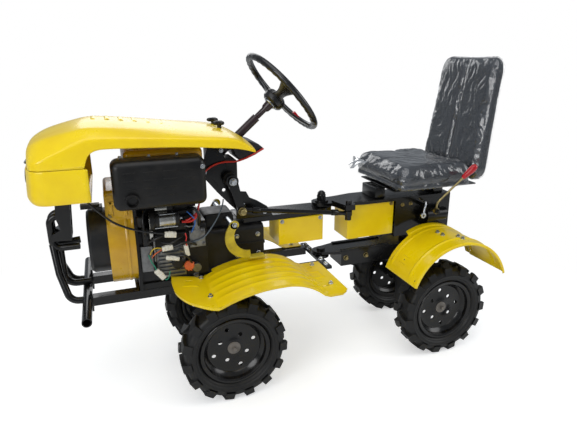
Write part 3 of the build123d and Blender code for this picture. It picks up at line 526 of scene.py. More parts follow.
    def piece(self, name: str, finish: Finish, body: Body, smooth: bool = True) -> bpy.types.Object:
        """Closes the mesh and makes the piece.

        Args:
            name: The piece's name.
            finish: Its finish.
            body: The body it rides on.
            smooth: Shades it smooth up to 35 degrees.
        Returns:
            The new object.
        """
        bmesh.ops.recalc_face_normals(self.bm, faces=self.bm.faces)
        for v in self.bm.verts:
            v.co = (v.co + OFFSET) / 1000
        mesh = bpy.data.meshes.new(name)
        self.bm.to_mesh(mesh)
        self.bm.free()
        if smooth:
            for face in mesh.polygons:
                face.use_smooth = True
            mesh.set_sharp_from_angle(angle=math.radians(35))
        made = bpy.data.objects.new(name, mesh)
        bpy.context.scene.collection.objects.link(made)
        mesh.materials.append(finish.material())
        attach(made, body.value)
        LOG.info("%s on %s, %d faces", name, body.value, len(mesh.polygons))
        return made


def modify(obj: bpy.types.Object, kind: str, **settings: object) -> bpy.types.Modifier:
    """Adds a modifier to a new piece.

    Args:
        obj: The piece.
        kind: The modifier's type.
        settings: Its properties.
    Returns:
        The modifier.
    """
    made = obj.modifiers.new(kind.lower(), kind)
    for key, value in settings.items():
        setattr(made, key, value)
    return made


def settle(obj: bpy.types.Object) -> None:
    """Applies a piece's modifiers to its mesh.

    Args:
        obj: The piece.
    """
    graph = bpy.context.evaluated_depsgraph_get()
    mesh = bpy.data.meshes.new_from_object(obj.evaluated_get(graph))
    obj.modifiers.clear()
    old, obj.data = obj.data, mesh
    bpy.data.meshes.remove(old)


def cut(obj: bpy.types.Object, cutter: Shape) -> None:
    """Cuts holes and slots through a piece.

    Args:
        obj: The piece.
        cutter: The solid shapes to take out, in the drawing frame.
    """
    bmesh.ops.recalc_face_normals(cutter.bm, faces=cutter.bm.faces)
    for v in cutter.bm.verts:
        v.co = (v.co + OFFSET) / 1000
    mesh = bpy.data.meshes.new("cutter")
    cutter.bm.to_mesh(mesh)
    cutter.bm.free()
    tool = bpy.data.objects.new("cutter", mesh)
    bpy.context.scene.collection.objects.link(tool)
    modify(obj, "BOOLEAN", operation="DIFFERENCE", object=tool, solver="EXACT")
    settle(obj)
    bpy.data.objects.remove(tool)
    bpy.data.meshes.remove(mesh)


def lead(name: str, route: Sequence[Point], radius: float, finish: Finish, body: Body, *nodes: str) -> bpy.types.Object:
    """Makes a smooth lead that the machine holds at both ends.

    Args:
        name: The piece's name.
        route: Control points of its middle line.
        radius: Its radius.
        finish: Its finish.
        body: The body it rides on.
        nodes: The CAD nodes that it stands for.
    Returns:
        The new curve.
    """
    curve = bpy.data.curves.new(name, "CURVE")
    curve.dimensions = "3D"
    curve.bevel_depth = radius / 1000
    curve.bevel_resolution = 3
    curve.use_fill_caps = True
    line = curve.splines.new("NURBS")
    line.points.add(len(route) - 1)
    for point, spot in zip(line.points, route):
        point.co = (*((Vector(spot) + OFFSET) / 1000), 1.0)
    line.order_u = 3
    line.use_endpoint_u = True
    line.resolution_u = 8
    curve.materials.append(finish.material())
    made = bpy.data.objects.new(name, curve)
    bpy.context.scene.collection.objects.link(made)
    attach(made, body.value)
    if nodes:
        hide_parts(*nodes)
    LOG.info("%s on %s, a lead of %d points", name, body.value, len(route))
    return made


@dataclass
class Hood:
    """The tilting hood: a crowned pressing with a flat skirt, open over the engine's side."""

    # Station, half width, side crease, shoulder half width, shoulder, crown
    sections: tuple = (
        (-112, 222, 1008, 150, 1020, 1028), (-40, 224, 1052, 150, 1064, 1070),
        (155, 224.5, 1066, 158, 1085, 1094), (428, 225, 1082, 170, 1110, 1124),
        (540, 224.5, 1046, 160, 1089, 1103), (596, 222, 1020, 146, 1072, 1084),
        (630, 196, 1008, 120, 1052, 1063), (648, 130, 1000, 96, 1030, 1040),
    )
    # Lower edge: station and height
    edge: tuple = (
        (-112, 999), (-55, 1017), (155, 1036), (410, 1045), (436, 1037), (452, 1022), (460, 1000),
        (463, 985), (660, 985),
    )
    stations: tuple = (
        -112, -104, -76, -40, 30, 155, 290, 400, 422, 438, 450, 457, 461, 463.5, 470, 500, 540, 570, 596,
        616, 630, 641,
    )
    seam: float = 985.0
    sheet: float = 2.6
    hinge: tuple = (655.0, 985.0)
    ribs: int = 6

    def foot(self, x: float) -> float:
        """Returns the lower edge's height at a station."""
        for (x0, z0), (x1, z1) in zip(self.edge, self.edge[1:]):
            if x0 <= x <= x1:
                return z0 + (z1 - z0) * (x - x0) / (x1 - x0)
        return self.edge[-1][1]

    def section(self, x: float) -> list[Point]:
        """The row of cage points across the hood at a station.

        Args:
            x: The station.
        Returns:
            Points from the left lower edge over the crown to the right one.
        """
        w, crease, sw, shoulder, crown = along_table(self.sections, x)
        foot = min(self.foot(x), crease - 4)
        half = [
            (w, foot), (w, (foot + crease) / 2), (w, crease - 3), (w - 8, crease + 2),
            ((w + sw) / 2, (crease + shoulder) / 2 + 1), (sw + 6, shoulder - 2), (sw - 12, shoulder + 1),
            (sw * 0.5, (shoulder + 2 * crown) / 3), (0, crown),
        ]
        return [(x, y, z) for y, z in half] + [(x, -y, z) for y, z in half[-2::-1]]

    def brow(self, front: float, bow: float, top: float, half: float) -> list[Point]:
        """A row of cage points across the rounded front.

        Args:
            front: Station of its middle.
            bow: How far its ends lie back.
            top: Height of its middle.
            half: Half its width at the seam.
        Returns:
            Points from left to right.
        """
        shares = (1.0, 0.98, 0.95, 0.9, 0.78, 0.62, 0.5, 0.25, 0.0)
        row = [(half * s, self.seam + (top - self.seam) * (1 - s ** 4)) for s in shares]
        row += [(-y, z) for y, z in row[-2::-1]]
        return [(front - bow * (y / 130) ** 2, y, z) for y, z in row]

    def build(self) -> None:
        """Builds the hood, its louvre ribs, knuckle and knobs."""
        shape = Shape()
        rows = [self.section(x) for x in self.stations]
        rows += [self.brow(651, 14, 1008, 112), self.brow(652, 9, 994, 84), self.brow(652, 8, self.seam, 72)]
        cage = [[shape.bm.verts.new(p) for p in row] for row in rows]
        for a, b in zip(cage, cage[1:]):
            for j in range(len(a) - 1):
                shape.bm.faces.new((a[j], a[j + 1], b[j + 1], b[j]))
        made = shape.piece("pressed_hood", YELLOW_ENAMEL, Body.HOOD)
        modify(made, "SUBSURF", levels=2, render_levels=2)
        modify(made, "SOLIDIFY", thickness=self.sheet / 1000, offset=-1)
        settle(made)
        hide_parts("hood")
        self.emboss()
        self.fittings()

    def emboss(self) -> None:
        """Raises the row of louvre ribs across the roof."""
        shape = Shape()
        for n in range(self.ribs):
            x = 424 - 46 * n
            half = 46 + 4 * n

            def spot(u: float, v: float, x: float = x, half: float = half) -> Point:
                """Returns a point of one rib."""
                y = half * (2 * u - 1)
                crown = along_table(self.sections, x)[4]
                shoulder = along_table(self.sections, x)[3]
                sw = along_table(self.sections, x)[2]
                roof = crown - (crown - shoulder) * (y / sw) ** 2 * 0.9
                fade = ease(1.0, 0.8, abs(2 * u - 1))
                lift = (3.4 * math.sin(math.pi * v) ** 0.7 if 0 < v < 1 else 0.0) * fade
                return (x - 9 + 18 * v, y, roof - 2.2 + lift)

            shape.grid(spot, 28, 8)
        shape.piece("hood_louvre_ribs", YELLOW_ENAMEL, Body.HOOD)

    def fittings(self) -> None:
        """Adds the hinge knuckle and the three-lobed knobs on their studs."""
        x, z = self.hinge
        knuckle = Shape()
        knuckle.lathe([(3.5, -20), (6, -20), (6, 20), (3.5, 20), (3.5, -20)], (x, 0, z), (0, 1, 0), 20)
        knuckle.piece("hood_knuckle", ZINC_PLATE, Body.HOOD)
        grips, studs = Shape(), Shape()
        for y in (55, -55):
            def lobe(u: float, v: float, y: float = y) -> Point:
                """Returns a point of one knob's lobed head."""
                a = 2 * math.pi * v
                h = -0.5 * math.pi + math.pi * u
                r = 18 + 8 * math.cos(3 * a)
                return (
                    -19 + r * math.cos(a) * math.cos(h) ** 0.45,
                    y + r * math.sin(a) * math.cos(h) ** 0.45,
                    1089 + 8 * math.sin(h),
                )

            grips.grid(lobe, 10, 42, around=True)
            grips.lathe([(0, -20), (9, -20), (8, -10), (11, 0), (0, 0)], (-19, y, 1087), (0, 0, 1), 20)
            studs.lathe([(0, 0), (12, 0), (12, 2), (6, 2.5), (6, 9), (0, 9)], (-19, y, 1062), (0, 0, 1), 20)
        made = grips.piece("lobed_hood_knobs", BLACK_ABS, Body.HOOD)
        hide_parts("hood_knobs")
        studs.piece("knob_studs", ZINC_PLATE, Body.HOOD)


@dataclass
class Nose:
    """The fixed nose: a wrapped pressing under the hood with its lower edge tucked in."""

    rear: float = 455.0
    half: float = 225.0
    front_low: float = 661.0
    front_top: float = 652.0
    low: float = 868.0
    top: float = 983.6
    sheet: float = 2.4
    # Half width and how far the front lies back there
    plan: tuple = ((0, 0), (60, 0.4), (130, 4), (196, 22), (217, 40), (225, 66))
    # Height, tuck of the front, tuck of the sides
    rows: tuple = (
        (868, 22, 7), (869.5, 14, 4), (874, 7, 1.6), (881, 4, 0.8), (886, 1, 0), (900, 0, 0), (930, 0, 0), (965, 0, 0),
        (980, 0, 0), (983.6, 1, 1),
    )

    def ring(self, z: float, tuck: float, inset: float) -> list[Point]:
        """The nose's plan at a height, from the left rear corner round to the right one.

        Args:
            z: The height.
            tuck: How far the front is set back.
            inset: How far the sides are set in.
        Returns:
            The points.
        """
        front = self.front_low + (self.front_top - self.front_low) * (z - self.low) / (self.top - self.low)
        half = [(x, self.half) for x in (self.rear, 480, 510, 540, 565, 582)]
        for y in (225, 224, 221, 217, 211, 203, 193, 180, 163, 143, 120, 95, 70, 45, 22, 0):
            half.append((front - along_table(self.plan, y)[0], y))
        half = [(x - tuck * ease(540, front, x), y * (1 - inset / self.half)) for x, y in half]
        return [(x, y, z) for x, y in half] + [(x, -y, z) for x, y in half[-2::-1]]

    def build(self) -> None:
        """Builds the nose, its hinge eyes and the lamps' bezels."""
        shape = Shape()
        rows = [[shape.bm.verts.new(p) for p in self.ring(*row)] for row in self.rows]
        for a, b in zip(rows, rows[1:]):
            for j in range(len(a) - 1):
                shape.bm.faces.new((a[j], a[j + 1], b[j + 1], b[j]))
        last = len(rows[0]) - 1
        for j in range(last // 2 - 1):
            shape.bm.faces.new((rows[0][j], rows[0][last - j], rows[0][last - j - 1], rows[0][j + 1]))
        m = last // 2
        shape.bm.faces.new((rows[0][m - 1], rows[0][m + 1], rows[0][m]))
        made = shape.piece("pressed_nose", YELLOW_ENAMEL, Body.FRONT)
        modify(made, "SUBSURF", levels=1, render_levels=1)
        modify(made, "SOLIDIFY", thickness=self.sheet / 1000, offset=-1)
        settle(made)
        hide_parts("nose_panel")
        eyes = Shape()
        for y in (33, -33):
            eyes.lathe([(3.2, -11), (6, -11), (6, 11), (3.2, 11), (3.2, -11)], (655, y, 985), (0, 1, 0), 20)
        eyes.piece("hinge_eyes", ZINC_PLATE, Body.FRONT)
        bezels = Shape()
        for y in (30, -30):
            spot = (self.front_low - 9 * (938 - 868) / 115, y, 938)
            bezels.lathe([(25, 4), (25, 6.5), (27, 7.5), (30, 6), (30.5, 0.5), (27, 0.5), (27, 4), (25, 4)],
                         spot, (115, 0, 9), 40)
        bezels.piece("lamp_bezels", BLACK_ABS, Body.FRONT)


def arc_height(a: Point, b: Point, c: Point, x: float) -> float:
    """Height at x of the upper arc through three (x, z) points.

    Args:
        a: First point.
        b: Second point.
        c: Third point.
        x: Where to read.
    Returns:
        The height.
    """
    (x1, z1), (x2, z2), (x3, z3) = a, b, c
    d = 2 * (x1 * (z2 - z3) + x2 * (z3 - z1) + x3 * (z1 - z2))
    s1, s2, s3 = x1 * x1 + z1 * z1, x2 * x2 + z2 * z2, x3 * x3 + z3 * z3
    cx = (s1 * (z2 - z3) + s2 * (z3 - z1) + s3 * (z1 - z2)) / d
    cz = (s1 * (x3 - x2) + s2 * (x1 - x3) + s3 * (x2 - x1)) / d
    return cz + math.sqrt(max(0.0, (x1 - cx) ** 2 + (z1 - cz) ** 2 - (x - cx) ** 2))


@dataclass
class FrontFender:
    """A long pressed fender with running ribs, a rolled lip, slots and bolts."""

    side: int
    sheet: float = 2.2
    rib_pitch: float = 48.0
    first_rib: float = 156.0
    rib_high: float = 3.0
    lip: float = 11.0
    # Distance from the centre line, front edge
    front: tuple = (
        (124, 210), (160, 214), (200, 217), (262, 216), (300, 207), (332, 193), (358, 174), (376, 153), (392, 130),
        (403, 104), (410, 66),
    )
    bolts: tuple = ((98, 140), (95, 307), (-375, 128), (-375, 319))
    slots: tuple = ((150, 168), (-352, 150), (-352, 330))

    def height(self, x: float) -> float:
        """Returns the under face's height at a station."""
        if x > 87:
            return 500 + 22 * (x - 87) / 131
        if x > -150:
            return arc_height((87, 500), (-22, 537), (-150, 550), x)
        if x > -310:
            return arc_height((-150, 550), (-240, 535), (-310, 491), x)
        return 481 + max(0.0, 10 * (x + 335) / 25)

    def top(self, x: float, y: float) -> float:
        """Returns the upper face's height, ribs and stamped marks included."""
        crest = sum(
            math.exp(-((y - self.first_rib - self.rib_pitch * n) / 10) ** 2) for n in range(5)
        )
        on_arch = ease(92, 40, x) * ease(-338, -318, x)
        flats = 0.0
        for cx, half_x, cy, half_y in ((150, 26, 215, 4), (-372, 4, 225, 26), (-352, 22, 253, 3), (-352, 22, 197, 3)):
            flats += 2.4 * ease(half_x + 3, half_x - 2, abs(x - cx)) * ease(half_y + 3, half_y - 1, abs(y - cy))
        return self.height(x) + 3 + self.rib_high * crest * on_arch + flats

    def build(self) -> None:
        """Builds the pressing, cuts its slots and bolts it down."""
        hand = "left" if self.side > 0 else "right"
        shape = Shape()

        def sheet(u: float, v: float) -> Point:
            """Returns a point of the main panel."""
            y = 124 + 286 * v
            x0 = along_table(self.front, y)[0]
            x1 = -415 + 25 * ease(385, 410, y)
            x = x0 + (x1 - x0) * u
            return (x, self.side * y, self.top(x, y))

        def tab(u: float, v: float) -> Point:
            """Returns a point of the inner flange beside the gearbox."""
            x, y = 50 - 465 * u, 99 + 25 * v
            return (x, self.side * y, self.top(x, y))

        rows = shape.grid(sheet, 150, 84)
        shape.grid(tab, 110, 6)
        path = rows[0] + [row[-1] for row in rows[1:]] + rows[-1][-2::-1]
        last = path
        for out, drop in ((1.6, 0.8), (3.0, 3.0), (3.6, 6.5), (3.4, self.lip)):
            ring = []
            for n, v in enumerate(path):
                way = path[min(n + 1, len(path) - 1)].co - path[max(n - 1, 0)].co
                away = way.cross(Vector((0, 0, -self.side))).normalized()
                ring.append(shape.bm.verts.new(v.co + away * out - Vector((0, 0, drop))))
            for n in range(len(path) - 1):
                shape.bm.faces.new((last[n], last[n + 1], ring[n + 1], ring[n]))
            last = ring
        made = shape.piece(f"pressed_front_fender_{hand}", YELLOW_ENAMEL, Body.FRONT)
        modify(made, "SOLIDIFY", thickness=self.sheet / 1000, offset=-1)
        settle(made)
        slots = Shape()
        for x, y in self.slots:
            slots.slab((x, self.side * y, self.height(x) + 2), (28, 6, 30), 2.6, 3)
        cut(made, slots)
        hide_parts(f"front_fender_{hand}")
        screws = Shape()
        for x, y in self.bolts:
            screws.bolt((x, self.side * y, self.top(x, y) + 0.2), (0, 0, 1), 12, 10)
        screws.piece(f"front_fender_bolts_{hand}", ZINC_PLATE, Body.FRONT)


@dataclass
class RearFender:
    """A half-round fender with a stepped inner strip, bead lines and a rolled lip."""

    side: int
    middle: tuple = (-948.0, 357.0)
    radius: float = 240.0
    sheet: float = 2.2
    first: float = 18.0
    last: float = 162.0
    outer: float = 378.0

    def spot(self, angle: float, y: float, lift: float = 0.0) -> Vector:
        """Returns a point over the arch at an angle in degrees."""
        a = math.radians(angle)
        r = self.radius + lift
        return Vector((self.middle[0] + r * math.cos(a), self.side * y, self.middle[1] + r * math.sin(a)))

    def lift(self, angle: float, y: float) -> float:
        """Returns how far the pressing stands over the plain arch."""
        inside = ease(self.first + 4, self.first + 12, angle) * ease(self.last - 4, self.last - 12, angle)
        beads = math.exp(-((y - 176) / 6) ** 2) + math.exp(-((y - 322) / 6) ** 2)
        step = 5.0 * ease(152, 144, y) * ease(56, 62, angle)
        return -1.0 + 4.0 * beads * inside + step

    def build(self) -> None:
        """Builds the pressing with its slots and bolts."""
        hand = "left" if self.side > 0 else "right"
        shape = Shape()

        def sheet(u: float, v: float) -> Point:
            """Returns a point of the arch."""
            angle = self.first + (self.last - self.first) * u
            inner = 148 - 33 * ease(60, 63, angle)
            y = inner + (self.outer - inner) * v
            return self.spot(angle, y, self.lift(angle, y))

        rows = shape.grid(sheet, 130, 62)
        edge = [row[-1] for row in rows]
        last = edge
        for out, drop in ((1.6, 0.8), (2.8, 3.2), (3.2, 7.0), (3.0, 12.0)):
            ring = []
            for n, v in enumerate(edge):
                angle = self.first + (self.last - self.first) * n / (len(edge) - 1)
                ring.append(shape.bm.verts.new(self.spot(angle, self.outer + out, self.lift(angle, self.outer) - drop)))
            for n in range(len(edge) - 1):
                shape.bm.faces.new((last[n], last[n + 1], ring[n + 1], ring[n]))
            last = ring
        made = shape.piece(f"pressed_rear_fender_{hand}", YELLOW_ENAMEL, Body.REAR)
        modify(made, "SOLIDIFY", thickness=self.sheet / 1000, offset=-1)
        settle(made)
        holes = Shape()
        for angle, y, wide in ((30, 166, 13), (110, 132, 13), (24, 362, 0), (156, 362, 0), (156, 164, 0), (36, 240, 0)):
            axis = self.spot(angle, y) - self.spot(angle, y, -1)
            if wide:
                turn = axis.to_track_quat("Z", "Y").to_matrix()
                holes.slab(self.spot(angle, y), (5, wide, 30), 2.2, 2, turn)
            else:
                holes.lathe([(0, -14), (3.6, -14), (3.6, 14), (0, 14)], self.spot(angle, y), axis, 14)
        for angle in (32, 40):
            for n in range(5):
                axis = self.spot(angle, 216) - self.spot(angle, 216, -1)
                holes.lathe([(0, -14), (1.9, -14), (1.9, 14), (0, 14)], self.spot(angle, 220 + 10 * n), axis, 10)
        cut(made, holes)
        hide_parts(f"rear_fender_{hand}")
        screws = Shape()
        for angle, y in ((84, 226), (84, 262), (96, 300), (96, 330)):
            screws.bolt(self.spot(angle, y, self.lift(angle, y) + 0.2), self.spot(angle, y) - self.spot(angle, y, -1), 12, 10)
        screws.piece(f"rear_fender_bolts_{hand}", ZINC_PLATE, Body.REAR)


@dataclass
class Wheel:
    """A field tyre with chevron lugs and sidewall rings, on a rim with its hub nut."""

    body: Body
    tyre: str
    x: float
    side: int
    turn: float = 0.0  # of the square of holes, rising to the front
    track: float = 222.0
    radius: float = 214.0
    half: float = 56.0
    lugs: int = 15
    # Radius and distance from the middle, outer half of the section
    section: tuple = (
        (129, 37), (142, 37.2), (146, 43), (149, 46.5), (150, 48.3), (152, 48.3), (153, 48.6), (158, 51.5), (159, 53.2),
        (161.5, 53.6), (163, 53.4), (170, 55), (171, 56.2), (173, 56.2), (174.5, 55), (182, 54), (190, 50.5), (195.5, 45),
        (198.6, 36), (200, 20), (200.3, 0),
    )
    # A lug's foot: along the tread, across it
    foot: tuple = ((-30, -3), (-9, -3), (6, 10), (20, 22), (26, 38), (27, 52), (-9, 52), (-11, 38), (-14, 24), (-22, 10))

    def place(self, r: float, y: float, a: float) -> Point:
        """Returns a point round the wheel's axle, with +y outboard."""
        return (self.x + r * math.sin(a), self.side * (self.track + y), AXLE_Z + r * math.cos(a))

    def build(self) -> None:
        """Builds the tyre and the hub's fittings."""
        shape = Shape()
        profile = list(self.section) + [(r, -y) for r, y in self.section[-2::-1]]
        count = len(profile) - 1

        def carcass(u: float, v: float) -> Point:
            """Returns a point of the carcass."""
            r, y = profile[round(u * count)]
            return self.place(r, y, 2 * math.pi * v)

        shape.grid(carcass, count, 96, around=True)
        for flank in (1, -1):
            for n in range(self.lugs):
                turn = 2 * math.pi * (n + (0.5 if flank < 0 else 0.0)) / self.lugs
                self.lug(shape, flank, turn)
        made = shape.piece(f"lugged_{self.tyre}", TYRE_RUBBER, self.body)
        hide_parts(self.tyre)
        self.rim()
        nut = Shape()
        hub = (self.x, self.side * (self.track + 11.6), AXLE_Z)
        out = (0, self.side, 0)
        nut.lathe([(0, 10), (9, 10), (9, 17), (7.5, 19), (0, 19)], hub, out, 20)
        nut.lathe([(0, 0), (26, 0), (26, 3), (24, 4), (0, 4)], hub, out, 28)
        nut.piece(f"hub_nut_{self.tyre[5:]}", DUSTY_STEEL, self.body)

    def rim(self) -> None:
        """Builds the spun rim and drills its square of eight holes."""
        shape = Shape()
        out = (0, self.side, 0)
        middle = (self.x, self.side * self.track, AXLE_Z)
        shape.lathe([
            (0, 3), (19.4, 3), (19.4, -86), (32, -86), (32, 3), (108, 3), (109, 2), (109, -15), (122, -24), (123, -42), (136, -44), (141, -42), (141.5, -38.5),
            (127.5, -37.5), (127.5, -22), (114, -14), (114, 14), (127.5, 22), (127.5, 37.5), (141.5, 38.5), (141.5, 42),
            (139, 44.5), (135, 44.5), (130, 42), (125, 40), (123.5, 34), (122, 25), (110, 16), (106, 10.5), (100, 9),
            (84, 9), (42, 9), (38, 11.5), (0, 11.5),
        ], middle, out, 72)
        made = shape.piece(f"spun_rim_{self.tyre[5:]}", RIM_ENAMEL, self.body)
        holes = Shape()
        t = math.radians(self.turn)
        for i in (-1, 0, 1):
            for j in (-1, 0, 1):
                if i or j:
                    spot = Vector((i * math.cos(t) + j * math.sin(t), 0, i * math.sin(t) - j * math.cos(t)))
                    holes.lathe([(0, -30), (8.6, -30), (8.6, 30), (0, 30)], Vector(middle) + 60 * spot, out, 20)
        cut(made, holes)
        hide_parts(f"rim_{self.tyre[5:]}")

    def lug(self, shape: Shape, flank: int, turn: float) -> None:
        """Adds one lug.

        Args:
            shape: The tyre's mesh.
            flank: 1 for the outer half of the tread, -1 for the inner.
            turn: Its place round the tyre, in radians.
        """
        cx = sum(p[0] for p in self.foot) / len(self.foot)
        cy = sum(p[1] for p in self.foot) / len(self.foot)
        rings = []
        for grow, low in ((1.16, 32.0), (1.06, 15.0), (1.0, 3.4), (0.985, 1.2), (0.93, 0.0)):
            ring = []
            for s, y in self.foot:
                s = cx + (s - cx) * grow
                y = cy + (y - cy) * (grow if y > 0 else 1.0)
                y += max(0.0, low - 8) * 0.16 * ease(40, 52, y)
                r = self.radius - 0.5 - low - 2.2 * (y / 52) ** 2
                ring.append(shape.bm.verts.new(self.place(r, flank * y, turn + s / (self.radius - 8))))
            rings.append(ring)
        count = len(self.foot)
        for a, b in zip(rings, rings[1:]):
            for k in range(count):
                m = (k + 1) % count
                shape.bm.faces.new((a[k], a[m], b[m], b[k]))
        shape.bm.faces.new(rings[-1])


@dataclass
class Seat:
    """The driver's seat: a stuffed cushion and back in leathercloth, still in clear delivery bags."""

    voxel: float = 7.0
    cap: float = 13.0
    frames: int = 20
    pressure: float = 4.0

    def stuff(self, node: str, name: str, shrink: Point, channel: Callable[[Vector, Vector], float]) -> bpy.types.Object:
        """Puffs up a slightly smaller copy of a cushion's solid with a pressure cloth.

        Args:
            node: The CAD node that it stands for.
            name: The piece's name.
            shrink: Scale of the copy along each axis before it swells.
            channel: Gives the depth of a sewn channel at a place with a normal.
        Returns:
            The cushion.
        """
        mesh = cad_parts[node].data.copy()
        low, high = (Vector([f(v.co[k] for v in mesh.vertices) for k in range(3)]) for f in (min, max))
        middle = (low + high) / 2
        for v in mesh.vertices:
            v.co = middle + (v.co - middle) * Vector(shrink)
        made = bpy.data.objects.new(name, mesh)
        bpy.context.scene.collection.objects.link(made)
        modify(made, "REMESH", mode="VOXEL", voxel_size=self.voxel / 1000)
        settle(made)
        self.puff(made)
        moves = []
        for v in made.data.vertices:
            moves.append(-v.normal * channel(v.co * 1000 - OFFSET, v.normal) / 1000)
        for v, move in zip(made.data.vertices, moves):
            v.co += move
        modify(made, "SUBSURF", levels=1, render_levels=1)
        settle(made)
        made.data.materials.clear()
        made.data.materials.append(SLATE_VINYL.material())
        for face in made.data.polygons:
            face.use_smooth = True
        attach(made, Body.REAR.value)
        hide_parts(node)
        LOG.info("%s stuffed, %d faces", name, len(made.data.polygons))
        return made

    def puff(self, made: bpy.types.Object) -> None:
        """Runs the pressure cloth and caps how far each point moves.

        Args:
            made: The cushion.
        """
        rest = [v.co.copy() for v in made.data.vertices]
        cloth = modify(made, "CLOTH")
        cloth.settings.use_pressure = True
        cloth.settings.uniform_pressure_force = self.pressure
        cloth.settings.effector_weights.gravity = 0
        cloth.collision_settings.use_collision = False
        for number in range(1, self.frames + 1):
            bpy.context.scene.frame_set(number)
        settle(made)
        for v, start in zip(made.data.vertices, rest):
            move = v.co - start
            if move.length > self.cap / 1000:
                v.co = start + move.normalized() * self.cap / 1000
        bpy.context.scene.frame_set(1)

    def bag(self, core: bpy.types.Object, name: str, away: Vector, stretch: Point, slack: float) -> None:
        """Wraps a cushion in its film, drawn into long creases and open on the side that is hidden.

        Args:
            core: The cushion inside.
            name: The piece's name.
            away: The way the film's closed side faces.
            stretch: Length of the creases along each axis.
            slack: Height of the creases.
        """
        shape = bmesh.new()
        shape.from_mesh(core.data)
        under = [face for face in shape.faces if face.normal.dot(away) < -0.75]
        bmesh.ops.delete(shape, geom=under, context="FACES")
        mesh = bpy.data.meshes.new(name)
        shape.to_mesh(mesh)
        shape.free()
        normals = [v.normal.copy() for v in mesh.vertices]
        for v, normal in zip(mesh.vertices, normals):
            spot = v.co * 1000
            bend = noise.noise_vector(spot / 120) * 60
            place = Vector([c / s for c, s in zip(spot + bend, stretch)])
            fold = noise.ridged_multi_fractal(place, 0.9, 2.1, 4, 1.0, 2.0)
            v.co += normal * (1.2 + slack * min(fold, 2.2) * (0.6 + 0.4 * noise.noise(spot / 70))) / 1000
        made = bpy.data.objects.new(name, mesh)
        bpy.context.scene.collection.objects.link(made)
        mesh.materials.clear()
        # The film's white creases are partly painted highlight.
        mesh.materials.append(BAG_FILM.material())
        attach(made, Body.REAR.value)

    def flap(self) -> None:
        """Adds the loose corner of the cushion's bag at its far front corner."""
        shape = Shape()

        def spot(u: float, v: float) -> Point:
            """Returns a point of the flap, from the cushion's corner out to its tip."""
            y = -222 + 150 * v - 6 * u
            reach = (72 * math.sin(math.pi * min(1.0, 0.25 + 0.85 * (1 - v))) ** 1.4) * u
            wave = 7 * math.sin(9 * v + 3 * u) * u + 4 * math.sin(23 * v) * u
            return (-733 + reach, y, 862 - 26 * u * u + wave)

        shape.grid(spot, 16, 32)
        made = shape.piece("film_flap", BAG_FILM, Body.REAR)

    def build(self) -> None:
        """Builds both cushions and their bags."""

        def side_seam(spot: Vector, normal: Vector) -> float:
            """Returns the depth of the seam round the cushion's sides and how far its underside is pressed in."""
            seam = 5.0 * math.exp(-((spot.z - 812) / 6) ** 2) * ease(0.75, 0.4, abs(normal.z))
            flat = 9.0 * ease(-0.5, -0.9, normal.z)
            return seam + flat

        def centre_channel(spot: Vector, normal: Vector) -> float:
            """Returns the depth of the channel sewn down the middle of the back."""
            reach = ease(860, 900, spot.z) * ease(1312, 1285, spot.z)
            middle = 13.0 * math.exp(-(spot.y / 9) ** 2) * ease(0.1, 0.5, normal.x) * reach
            return middle + 8.0 * ease(-0.5, -0.9, normal.x)

        cushion = self.stuff("seat_cushion", "stuffed_cushion", (0.985, 0.98, 0.9), side_seam)
        back = self.stuff("seat_back", "stuffed_back", (0.95, 0.975, 0.985), centre_channel)
        self.bag(cushion, "cushion_bag", Vector((0, 0, 1)), (34, 60, 40), 3.4)
        self.bag(back, "back_bag", Vector((1, 0, 0)), (40, 26, 92), 3.8)
        self.flap()


